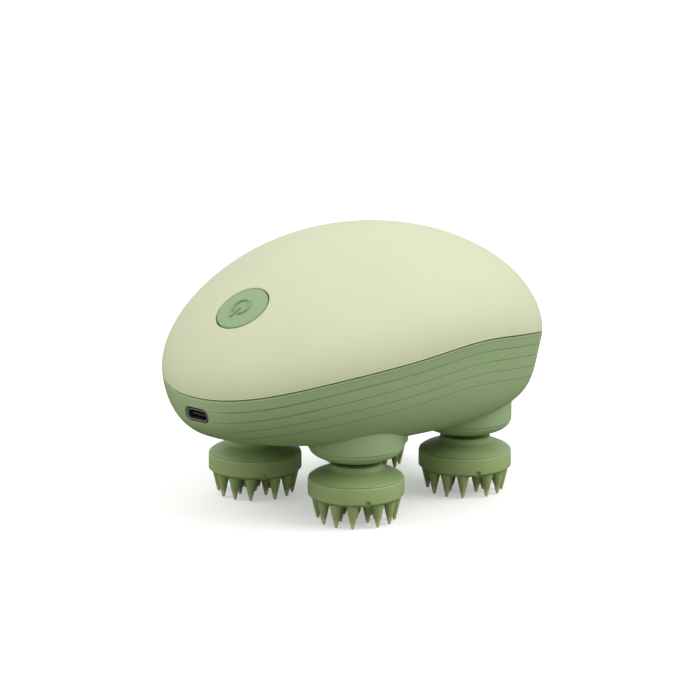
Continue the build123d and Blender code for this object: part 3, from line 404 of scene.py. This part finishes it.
def moulded(name, colour, roughness, grain=0.012, grain_size=0.35, coat=0.0, subsurface=0.0,
            subsurface_colour=(1.0, 0.8, 0.4)):
    """Moulded plastic or rubber: a base colour with a faint cloudy variation, a fine grain in
    the height and a little of it in the roughness."""
    mottle, cloud_scale, cloud_detail, grain_detail = 0.04, 55.0, 3.0, 2.0
    grain_strength, roughness_swing = 0.5, 0.05
    material = bpy.data.materials.new(name)
    material.use_nodes = True
    nodes, links = material.node_tree.nodes, material.node_tree.links
    shader = nodes["Principled BSDF"]
    shader.inputs["Roughness"].default_value = roughness
    shader.inputs["Coat Weight"].default_value = coat
    shader.inputs["Coat Roughness"].default_value = 0.35
    shader.inputs["Specular IOR Level"].default_value = 0.4
    if subsurface:
        shader.inputs["Subsurface Weight"].default_value = subsurface
        shader.inputs["Subsurface Radius"].default_value = subsurface_colour
        shader.inputs["Subsurface Scale"].default_value = 2.5 * mm
    place = nodes.new("ShaderNodeTexCoord")
    cloud = nodes.new("ShaderNodeTexNoise")
    cloud.inputs["Scale"].default_value = cloud_scale
    cloud.inputs["Detail"].default_value = cloud_detail
    links.new(place.outputs["Object"], cloud.inputs["Vector"])
    mix = nodes.new("ShaderNodeMix")
    mix.data_type = "RGBA"
    mix.inputs[first_colour].default_value = (*(c * (1 - mottle) for c in colour), 1)
    mix.inputs[second_colour].default_value = (*(c * (1 + mottle) for c in colour), 1)
    links.new(cloud.outputs["Fac"], mix.inputs["Factor"])
    links.new(mix.outputs[mixed_colour], shader.inputs["Base Color"])
    texture = nodes.new("ShaderNodeTexNoise")
    texture.inputs["Scale"].default_value = 1 / (grain_size * mm)
    texture.inputs["Detail"].default_value = grain_detail
    links.new(place.outputs["Object"], texture.inputs["Vector"])
    bump = nodes.new("ShaderNodeBump")
    bump.inputs["Strength"].default_value = grain_strength
    bump.inputs["Distance"].default_value = grain * mm
    links.new(texture.outputs["Fac"], bump.inputs["Height"])
    links.new(bump.outputs["Normal"], shader.inputs["Normal"])
    spread = nodes.new("ShaderNodeMapRange")
    spread.inputs["To Min"].default_value = roughness - roughness_swing
    spread.inputs["To Max"].default_value = roughness + roughness_swing
    links.new(texture.outputs["Fac"], spread.inputs["Value"])
    links.new(spread.outputs["Result"], shader.inputs["Roughness"])
    return material


def settle(name, mesh, body, material, replaced=()):
    """Put a finished mesh into the scene: it rides on a body and stands for CAD nodes."""
    piece = bpy.data.objects.new(name, mesh)
    bpy.context.scene.collection.objects.link(piece)
    mesh.materials.clear()
    mesh.materials.append(material)
    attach(piece, body)
    if replaced:
        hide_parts(*replaced)


green = moulded("soft_touch_green", (0.365, 0.48, 0.265), 0.6)
settle("lower_shell_body", shell_mesh, "grip", green, ["lower_shell"])

# ---------------------------------------------------------------- seals, screws and plugs
# Rubber rings and gaskets pressed between the mouldings, turned steel screws from below,
# and soft plugs of the shell's own green over them. They keep their solids.
node_slots = {part["node"]: part["material_slot"] for part in frame["record"]["subparts"]}


def finish(slot, material):
    """Give a material to every CAD node of one material slot that still shows."""
    for name, node in frame["nodes"].items():
        if node_slots[name] == slot and not node.hide_render:
            node.data.materials.clear()
            node.data.materials.append(material)


def metal(name, colour, roughness):
    """Turned or drawn metal: a base colour with fine streaks in the roughness and height."""
    streak_size, streak_stretch, streak_height, streak_strength = 0.4, 12.0, 0.004, 0.3
    smoothest, roughest = roughness - 0.08, roughness + 0.1
    material = bpy.data.materials.new(name)
    material.use_nodes = True
    nodes, links = material.node_tree.nodes, material.node_tree.links
    shader = nodes["Principled BSDF"]
    shader.inputs["Metallic"].default_value = 1.0
    shader.inputs["Base Color"].default_value = (*colour, 1)
    place = nodes.new("ShaderNodeTexCoord")
    stretch = nodes.new("ShaderNodeMapping")
    stretch.inputs["Scale"].default_value = (1.0, 1.0, streak_stretch)
    links.new(place.outputs["Object"], stretch.inputs["Vector"])
    noise = nodes.new("ShaderNodeTexNoise")
    noise.inputs["Scale"].default_value = 1 / (streak_size * mm)
    links.new(stretch.outputs["Vector"], noise.inputs["Vector"])
    spread = nodes.new("ShaderNodeMapRange")
    spread.inputs["To Min"].default_value = smoothest
    spread.inputs["To Max"].default_value = roughest
    links.new(noise.outputs["Fac"], spread.inputs["Value"])
    links.new(spread.outputs["Result"], shader.inputs["Roughness"])
    bump = nodes.new("ShaderNodeBump")
    bump.inputs["Distance"].default_value = streak_height * mm
    bump.inputs["Strength"].default_value = streak_strength
    links.new(noise.outputs["Fac"], bump.inputs["Height"])
    links.new(bump.outputs["Normal"], shader.inputs["Normal"])
    return material


finish("green_shell", green)
finish("dark_seal", moulded("seal_rubber", (0.06, 0.085, 0.035), 0.7))
finish("steel", metal("turned_steel", (0.55, 0.55, 0.56), 0.32))

# ---------------------------------------------------------------- gear train
# Acetal gears on steel pins and shafts, in sintered bronze bushes, between two plates of
# filled plastic that are screwed down over the collars. They keep their solids.
finish("gear_plastic", moulded("acetal", (0.80, 0.78, 0.72), 0.4, subsurface=0.1))
finish("gearbox_plastic", moulded("gearbox_plastic", (0.14, 0.15, 0.16), 0.5))
finish("bronze", metal("sintered_bronze", (0.58, 0.40, 0.20), 0.45))

# ---------------------------------------------------------------- motor and charging port
# A drawn steel can with a black end cap, two sintered magnets and a rotor of stacked iron.
# The port's shell is drawn from the same steel, round a black tongue.
finish("bright_steel", metal("drawn_steel", (0.42, 0.42, 0.42), 0.36))
finish("black_plastic", moulded("black_plastic", (0.03, 0.03, 0.03), 0.5))
finish("magnet", moulded("sintered_magnet", (0.10, 0.10, 0.11), 0.6))
finish("rotor_iron", metal("laminated_iron", (0.35, 0.32, 0.29), 0.45))

# ---------------------------------------------------------------- battery and boards
# One cell in a shrink wrap with welded nickel tabs, and two boards under green solder mask
# with a white socket and plunger. They keep their solids.
finish("battery_can", moulded("battery_wrap", (0.05, 0.16, 0.30), 0.3, coat=0.3))
finish("nickel", metal("nickel_strip", (0.66, 0.63, 0.57), 0.35))
finish("circuit_board", moulded("solder_mask", (0.02, 0.16, 0.06), 0.3, coat=0.4))
finish("white_plastic", moulded("white_plastic", (0.75, 0.74, 0.70), 0.45))

# ---------------------------------------------------------------- top cover
# The cream upper half: an ABS shell with a soft-touch coat, a round opening for the button
# with a tube behind it, and a thin rounded lip that closes on the gasket.
button_x, slope_step, depth_steps, least_width = -46.9, 1.0, 24, 1e-6
hole_radius, hole_round = 9.0, 0.35
seat_depth, tube_inner, tube_outer, tube_depth = 4.0, 11.2, 14.4, 8.7
outer_rows, inner_rows, inner_first = 120, 40, 0.96


def upper_z(x, y, inset=0.0):
    """Height of the upper half over x, y: base plus rise times sqrt(1 - (y / width)^2)."""
    width, crown, _ = station(x, inset)
    base = seam_z(x) + seam_gap / 2
    share = np.clip(np.abs(y) / np.maximum(width, least_width), 0, 1)
    return base + np.maximum(crown - base, 0) * np.sqrt(1 - share**2)


button_tilt = np.arctan2(
    station(button_x + slope_step)[1] - station(button_x - slope_step)[1], 2 * slope_step
)
button_point = np.array([button_x, 0.0, float(station(button_x)[1])])
button_out = np.array([-np.sin(button_tilt), 0.0, np.cos(button_tilt)])
button_down = np.array([-np.cos(button_tilt), 0.0, -np.sin(button_tilt)])
button_side = np.array([0.0, 1.0, 0.0])


def at_button(down, side, depth):
    """A point from distances down the slope, sideways, and below the button's plane."""
    down, side, depth = (part[..., None] for part in np.broadcast_arrays(down, side, depth))
    return button_point + down * button_down + side * button_side - depth * button_out


def cover_depth(down, side, inset=0.0):
    """How far the cover's surface lies below the button's plane: stepped towards the depth
    at which the point's height equals the surface's."""
    depth = np.zeros(np.broadcast(down, side).shape)
    for _ in range(depth_steps):
        spot = at_button(down, side, depth)
        above = spot[..., 2] - upper_z(spot[..., 0], spot[..., 1], inset)
        depth = depth + above * np.cos(button_tilt)
    return depth


def button_ring(radius, turn, depth=None, below=0.0):
    """A circle round the button's axis, at one depth, or so far below the outer surface."""
    down, side = radius * np.cos(turn), radius * np.sin(turn)
    level = cover_depth(down, side) + below if depth is None else np.full_like(down, depth)
    return at_button(down, side, level)


def between(start_x, start_y, end_x, end_y, t):
    """Points part of the way from one ring to another, closer together towards the second:
    the share is 1 - (1 - t)^2."""
    share = 1 - (1 - t) ** 2
    return start_x + (end_x - start_x) * share, start_y + (end_y - start_y) * share


# matching turns round the hole and round the rim, evenly spaced in their average
fine = np.linspace(0, 2 * np.pi, 4001)
fine_x, fine_y = rim(fine)
about_hole = np.unwrap(np.arctan2(fine_y, -(fine_x - button_x)))
about_hole[0], about_hole[-1] = 0.0, 2 * np.pi
even = np.linspace(0, 2 * np.pi, columns, endpoint=False)
rim_turn = np.interp(even, (fine + about_hole) / 2, fine)
hole_turn = np.interp(rim_turn, fine, about_hole)

# the tube and the seat, the hole's rounded edge, the outside, the lip, and the inside
cover_rings = [
    button_ring(radius, hole_turn, depth=depth)
    for depth, radius in ((tube_depth, tube_outer), (tube_depth, tube_inner),
                          (seat_depth, tube_inner), (seat_depth, hole_radius))
]
for lean in np.radians((0, 22, 45, 67)):
    radius, below = hole_radius + hole_round * (1 - np.cos(lean)), hole_round * (1 - np.sin(lean))
    cover_rings.append(button_ring(radius, hole_turn, below=below))
start = button_ring(hole_radius + hole_round, hole_turn)
rim_x, rim_y = rim(rim_turn)
for t in np.linspace(0, 1, outer_rows):
    x, y = between(start[:, 0], start[:, 1], rim_x, rim_y, t)
    z = np.maximum(upper_z(x, y), seam_z(x) + seam_gap / 2 + lip_round)
    cover_rings.append(points_at(x, y, z))
for lean in np.radians((18, 36, 54, 72, 90)):
    x, y = rim(rim_turn, lip_round * (1 - np.cos(lean)))
    z = seam_z(x) + seam_gap / 2 + lip_round * (1 - np.sin(lean))
    cover_rings.append(points_at(x, y, z))
inner_x, inner_y = rim(rim_turn, wall)
cover_rings.append(points_at(inner_x, inner_y, seam_z(inner_x) + seam_gap / 2))
down, side = tube_outer * np.cos(hole_turn), tube_outer * np.sin(hole_turn)
inner_start = at_button(down, side, cover_depth(down, side, wall))
for t in np.linspace(inner_first, 0, inner_rows):
    x, y = between(inner_start[:, 0], inner_start[:, 1], inner_x, inner_y, t)
    cover_rings.append(points_at(x, y, upper_z(x, y, wall)))
cover_mesh = outward(ring_mesh("top_cover_shell", np.array(cover_rings), close=True))
cream = moulded("soft_touch_cream", (0.68, 0.705, 0.49), 0.62)
settle("top_cover_shell", cover_mesh, "grip", cream, ["top_cover"])

# ---------------------------------------------------------------- power button
# A round push button, moulded flush with the cover's curve, with a rounded edge and a
# flange behind that keeps it in. The usual power sign stands a little proud of it, coloured a
# darker green as painted shade for the shadows along its edges.
button_radius, button_round, button_pole, button_rows = 8.6, 0.4, 0.15, 26
flange_radius, flange_top, flange_bottom = 10.3, 4.05, 5.05
button_crease = np.radians(50)
button_turn = np.linspace(0, 2 * np.pi, 160, endpoint=False)
button_rings = [
    button_ring(radius, button_turn)
    for radius in np.linspace(button_pole, button_radius - button_round, button_rows)
]
for lean in np.radians((22, 45, 67, 90)):
    radius = button_radius - button_round * (1 - np.sin(lean))
    below = button_round * (1 - np.cos(lean))
    button_rings.append(button_ring(radius, button_turn, below=below))
for radius, depth in ((button_radius, flange_top), (flange_radius, flange_top),
                      (flange_radius, flange_bottom), (button_pole, flange_bottom)):
    button_rings.append(button_ring(radius, button_turn, depth=depth))
button_mesh = outward(ring_mesh("power_button_cap", np.array(button_rings)))
button_mesh.set_sharp_from_angle(angle=button_crease)
button_green = moulded("button_green", (0.32, 0.455, 0.235), 0.5)
settle("power_button_cap", button_mesh, "button", button_green, ["power_button"])

symbol_radius, symbol_line, symbol_height, symbol_sides = 3.0, 0.8, 0.55, 8.0
symbol_gap, symbol_bar_start, symbol_bar_end = np.radians(70.0), 0.6, 4.6
symbol_turn, end_rings, least_end = np.radians(14.0), 5, 0.05


def raised_line(name, down, side):
    """A rib along a path on the button: at each point a section across the path with height
    times (1 - |offset|^sides), closed with a half round at both ends."""
    along = np.stack([np.gradient(down), np.gradient(side)])
    along /= np.hypot(*along)
    offset = -np.cos(np.linspace(0, np.pi, 13))
    height = symbol_height * (1 - np.abs(offset) ** symbol_sides)
    inwards = np.linspace(0, 1, end_rings)
    ends = np.sin(np.arccos(1 - inwards))
    last = len(down) - 1
    steps = [(0, 1 - c, w) for c, w in zip(inwards, ends)]
    steps += [(i, 0, 1) for i in range(1, last)]
    steps += [(last, -(1 - c), w) for c, w in zip(inwards[::-1], ends[::-1])]
    rings = []
    for i, back, width in steps:
        width = max(width, least_end)
        centre_down = down[i] - along[0, i] * back * symbol_line / 2
        centre_side = side[i] - along[1, i] * back * symbol_line / 2
        reach = offset * symbol_line / 2 * width
        a = centre_down - along[1, i] * reach
        b = centre_side + along[0, i] * reach
        top = at_button(a, b, cover_depth(a, b) - height * width)
        bottom = at_button(a[::-1], b[::-1], cover_depth(a[::-1], b[::-1]) + symbol_height)
        rings.append(np.concatenate([top, bottom]))
    return outward(ring_mesh(name, np.array(rings)))


sweep = np.linspace(symbol_gap / 2, 2 * np.pi - symbol_gap / 2, 72) + symbol_turn
bar = np.linspace(symbol_bar_start, symbol_bar_end, 12)
symbol_mesh = joined("power_symbol", [
    raised_line("ring", symbol_radius * np.cos(sweep), symbol_radius * np.sin(sweep)),
    raised_line("bar", bar * np.cos(symbol_turn), bar * np.sin(symbol_turn)),
])
# the sign's green is a darker copy of the button's green: painted shade for the shadows along the
# raised sign's edges
symbol_painted_shade_green = moulded("symbol_painted_shade_green", (0.27, 0.385, 0.20), 0.45)
settle("power_symbol", symbol_mesh, "button", symbol_painted_shade_green)

# ---------------------------------------------------------------- claw caps
# One soft silicone cap on each head: a plate and a band round the hub, with four small
# notches in the band's lower edge, and twenty-one tapering claws. The claw tips are thin
# and let light through; that light is painted into their colour as a pale peach glow.
claw_length, claw_root, claw_root_z, claw_tip, claw_flat = 7.3, 2.3, 8.3, 0.45, 0.2
claw_pole, claw_points, cap_crease = 0.05, 28, np.radians(38)
outer_circle, inner_circle, claw_turn = 12.0, 6.0, 14.0
outer_step, groups, per_group, inner_count = 25.7, 4, 3, 8
band_top_z, band_chamfer, band_round, chamfer_round = 13.47, 1.1, 0.5, 0.25
notch_width, notch_height, notch_depth, notch_edge = 1.6, 2.1, 1.0, 1e-3
plug_radius, plug_bottom_z, band_middle, band_pole = 13.4, 9.3, 3.4, 0.15


def claw_spots():
    """Places of the claws round the head's middle: one, a ring of eight, four groups of three."""
    spots = [(0.0, 0.0)]
    spots += [(inner_circle, 360 * (i + 0.5) / inner_count) for i in range(inner_count)]
    spots += [
        (outer_circle, 360 * g / groups + (i - (per_group - 1) / 2) * outer_step)
        for g in range(groups) for i in range(per_group)
    ]
    radius, angle = np.array(spots).T
    angle = np.radians(angle + claw_turn)
    return list(zip(radius * np.cos(angle), radius * np.sin(angle)))


def claw_profile():
    """Half section of a claw: a small flat, a round up to where the flank's slope begins,
    and a straight flank to its root inside the plate."""
    tip_round = claw_tip - claw_flat
    profile = [(claw_pole, 0.0), (claw_flat, 0.0)]
    profile += [
        (claw_flat + tip_round * np.sin(v), tip_round * (1 - np.cos(v)))
        for v in np.radians((25, 50, 75))
    ]
    start_r, start_z = profile[-1]
    profile += [
        (start_r + (claw_root - start_r) * u, start_z + (claw_root_z - start_z) * u)
        for u in np.linspace(0, 1, 8)[1:]
    ]
    return profile + [(claw_pole, claw_root_z)]


def band_rings(points=256):
    """Rings of the cap's plate and band. In four narrow notches the lower edge is set back:
    there every point below the notch's top keeps inside the notch's floor radius."""
    middle = np.radians(claw_turn + 180 / groups + 360 * np.arange(groups) / groups)
    half = notch_width / 2 / head_radius
    turn = np.linspace(0, 2 * np.pi, points, endpoint=False)
    sides = np.array([-half - notch_edge, -half, half, half + notch_edge])
    edges = (middle[:, None] + sides).ravel()
    turn = np.sort(np.concatenate([turn, edges % (2 * np.pi)]))
    apart = np.abs((turn[:, None] - middle + np.pi) % (2 * np.pi) - np.pi).min(axis=1)
    notched = apart <= half + notch_edge / 1000
    bottom, soft = claw_length, chamfer_round
    profile = [
        (band_pole, bottom),
        (head_radius - band_chamfer - soft, bottom),
        (head_radius - band_chamfer - soft * 0.3, bottom + soft * 0.25),
        (head_radius - soft * 0.25, bottom + band_chamfer - soft * 0.3),
        (head_radius, bottom + band_chamfer + soft),
        (head_radius, bottom + notch_height),
    ]
    below = len(profile)
    profile += [(head_radius, bottom + notch_height + 0.01), (head_radius, bottom + band_middle)]
    profile += [
        (head_radius - band_round * (1 - np.cos(v)), band_top_z - band_round * (1 - np.sin(v)))
        for v in np.radians((0, 22, 45, 67, 90))
    ]
    profile += [(plug_radius, band_top_z), (plug_radius, plug_bottom_z), (band_pole, plug_bottom_z)]
    radius, height = np.array(profile).T[..., None]
    radius = np.repeat(radius, len(turn), axis=1)
    lower = (np.arange(len(profile)) < below)[:, None] & notched[None, :]
    radius[lower] = np.minimum(radius[lower], head_radius - notch_depth)
    return points_at(radius * np.cos(turn), radius * np.sin(turn), height)


def silicone(name):
    """Satin silicone: green in the band, with painted light towards the claw tips, where it is
    thin: the base colour turns paler and peach there, a painted glow for light passing through."""
    # the tip colour and the glow are painted light: a pale peach glow painted into the base colour
    # for light passing through the thin claw tips
    painted_glow_colour, tip_share, patch_scale, glow_gain = (0.98, 0.76, 0.47), 0.45, 160.0, 1.5
    material = moulded(name, (0.37, 0.47, 0.21), 0.42, grain=0.006, grain_size=0.25,
                       subsurface=0.35, subsurface_colour=(1.0, 0.9, 0.35))
    nodes, links = material.node_tree.nodes, material.node_tree.links
    shader = nodes["Principled BSDF"]
    base = shader.inputs["Base Color"].links[0].from_socket
    place = nodes.new("ShaderNodeTexCoord")
    parts = nodes.new("ShaderNodeSeparateXYZ")
    links.new(place.outputs["Object"], parts.inputs["Vector"])
    height = nodes.new("ShaderNodeMapRange")
    height.interpolation_type = "SMOOTHSTEP"
    height.inputs["From Min"].default_value = 0.0
    height.inputs["From Max"].default_value = claw_length * tip_share * mm
    height.inputs["To Min"].default_value = 1.0
    height.inputs["To Max"].default_value = 0.0
    links.new(parts.outputs["Z"], height.inputs["Value"])
    patch = nodes.new("ShaderNodeTexNoise")
    patch.inputs["Scale"].default_value = patch_scale
    links.new(place.outputs["Object"], patch.inputs["Vector"])
    uneven = nodes.new("ShaderNodeMath")
    uneven.operation = "MULTIPLY"
    links.new(height.outputs["Result"], uneven.inputs[0])
    links.new(patch.outputs["Fac"], uneven.inputs[1])
    glow = nodes.new("ShaderNodeMath")
    glow.operation = "MULTIPLY"
    glow.inputs[1].default_value = glow_gain
    glow.use_clamp = True
    links.new(uneven.outputs["Value"], glow.inputs[0])
    # painted glow: the base colour is mixed towards the tip colour near the claw tips, standing in
    # for light shining through them
    painted_glow_mix = nodes.new("ShaderNodeMix")
    painted_glow_mix.data_type = "RGBA"
    painted_glow_mix.inputs[second_colour].default_value = (*painted_glow_colour, 1)
    links.new(glow.outputs["Value"], painted_glow_mix.inputs["Factor"])
    links.new(base, painted_glow_mix.inputs[first_colour])
    links.new(painted_glow_mix.outputs[mixed_colour], shader.inputs["Base Color"])
    return material


band = outward(ring_mesh("band", band_rings()))
claws = joined("claws", [
    outward(ring_mesh("claw", turned(claw_profile(), spot, claw_points))) for spot in claw_spots()
])
cap_at_origin = joined("claw_cap", [band, claws])
cap_at_origin.set_sharp_from_angle(angle=cap_crease)
head_silicone = silicone("claw_silicone")
for place, (x, y) in head_places.items():
    cap = cap_at_origin.copy()
    cap.name = f"claw_cap_{place}"
    flat = np.empty(len(cap.vertices) * 3)
    cap.vertices.foreach_get("co", flat)
    flat = flat.reshape(-1, 3) + np.array([x, y, 0]) * mm
    cap.vertices.foreach_set("co", flat.ravel())
    cap.update()
    settle(f"claw_cap_{place}_soft", cap, f"head_{place}", head_silicone,
           [f"claw_cap_{place}"])

# ---------------------------------------------------------------- head hubs
# The rigid middle of each head: a plug in the cap, a domed top over a thin flange, and a
# thick neck with a socket that is pressed on the output shaft.
hub_flange_radius, hub_flange_z, hub_flange_round = 14.8, 13.5, 0.15
hub_dome_radius, hub_dome_z, hub_dome_height = 15.2, 12.75, 4.3
neck_radius, neck_top_z, neck_round, neck_edge = 8.1, 18.1, 1.7, 0.2
socket_radius, socket_floor_z = 2.53, 10.8
hub_pole, hub_clearance, hub_edge_inset = 0.1, 0.03, 0.05
hub_points, hub_crease = 128, np.radians(50)


def hub_dome(radius):
    """Height of the hub's domed top: its base plus rise times sqrt(1 - (r / R)^2)."""
    return hub_dome_z + hub_dome_height * np.sqrt(1 - (radius / hub_dome_radius) ** 2)


# the neck's fillet touches the dome where the dome's slope is foot_lean
foot_step = 0.05
foot_guess = neck_radius + 0.8 * neck_round
foot_drop = hub_dome(foot_guess - foot_step) - hub_dome(foot_guess + foot_step)
foot_lean = np.arctan(foot_drop / (2 * foot_step))
foot_radius = neck_radius + neck_round * (1 - np.sin(foot_lean))
fillet_z = hub_dome(foot_radius) + neck_round * np.cos(foot_lean)
hub_plug = plug_radius - hub_clearance
hub_profile = [
    (hub_pole, plug_bottom_z), (hub_plug, plug_bottom_z), (hub_plug, hub_flange_z),
    (hub_flange_radius - hub_flange_round, hub_flange_z),
    (hub_flange_radius, hub_flange_z + hub_flange_round * 0.6),
]
hub_profile += [
    (radius, float(hub_dome(radius)))
    for radius in np.linspace(hub_flange_radius - hub_edge_inset, foot_radius, 20)
]
hub_profile += [
    (neck_radius + neck_round * (1 - np.sin(v)), fillet_z - neck_round * np.cos(v))
    for v in np.linspace(foot_lean, np.pi / 2, 8)[1:]
]
hub_profile += [
    (neck_radius - neck_edge * (1 - np.cos(v)), neck_top_z - neck_edge * (1 - np.sin(v)))
    for v in np.radians((0, 30, 60, 90))
]
hub_profile += [(socket_radius, neck_top_z), (socket_radius, socket_floor_z),
                (hub_pole, socket_floor_z)]
hub_green = moulded("hub_green", (0.275, 0.375, 0.165), 0.45)
for place, spot in head_places.items():
    hub_mesh = outward(ring_mesh("hub", turned(hub_profile, spot, hub_points)))
    hub_mesh.set_sharp_from_angle(angle=hub_crease)
    settle(f"head_hub_{place}_domed", hub_mesh, f"head_{place}", hub_green,
           [f"head_hub_{place}"])

# ---------------------------------------------------------------- table and light
# A wide white table in the even light of a pale surround, a broad soft light from the right
# and a weaker one from behind. The paper is white to look at but hands little light back up.
table_reach, table_z = 60.0, -0.0002
table_mesh = bpy.data.meshes.new("floor")
table_mesh.from_pydata(
    [(x * table_reach, y * table_reach, table_z) for x, y in ((-1, -1), (1, -1), (1, 1), (-1, 1))],
    [], [(0, 1, 2, 3)],
)
table = bpy.data.objects.new("floor", table_mesh)
bpy.context.scene.collection.objects.link(table)
paper = bpy.data.materials.new("paper")
paper.use_nodes = True
paper_nodes, paper_links = paper.node_tree.nodes, paper.node_tree.links
white_paper = paper_nodes["Principled BSDF"]
white_paper.inputs["Base Color"].default_value = (0.95, 0.95, 0.95, 1)
white_paper.inputs["Roughness"].default_value = 0.9
white_paper.inputs["Emission Color"].default_value = (1, 1, 1, 1)
white_paper.inputs["Emission Strength"].default_value = 0.35
dull_paper = paper_nodes.new("ShaderNodeBsdfDiffuse")
dull_paper.inputs["Color"].default_value = (0.24, 0.27, 0.175, 1)
ray_kind = paper_nodes.new("ShaderNodeLightPath")
paper_mix = paper_nodes.new("ShaderNodeMixShader")
paper_links.new(ray_kind.outputs["Is Camera Ray"], paper_mix.inputs[0])
paper_links.new(dull_paper.outputs["BSDF"], paper_mix.inputs[1])
paper_links.new(white_paper.outputs["BSDF"], paper_mix.inputs[2])
paper_links.new(paper_mix.outputs["Shader"], paper_nodes["Material Output"].inputs["Surface"])
table_mesh.materials.append(paper)


def soft_light(name, azimuth, elevation, strength, spread):
    """A distant light from a direction, as wide as an angle; all angles are in degrees."""
    lamp_data = bpy.data.lights.new(name, "SUN")
    lamp_data.energy = strength
    lamp_data.angle = np.radians(spread)
    lamp = bpy.data.objects.new(name, lamp_data)
    bpy.context.scene.collection.objects.link(lamp)
    lamp.rotation_euler = aimed_inwards(towards(azimuth, elevation))


soft_light("key", 35, 35, 1.3, 45)
soft_light("rim", -125, 40, 0.7, 45)
world = bpy.data.worlds.new("surround")
world.use_nodes = True
surround = world.node_tree.nodes["Background"]
surround.inputs["Color"].default_value = (1.0, 1.0, 1.0, 1)
surround.inputs["Strength"].default_value = 0.75
bpy.context.scene.world = world
bpy.context.scene.view_settings.view_transform = "Standard"
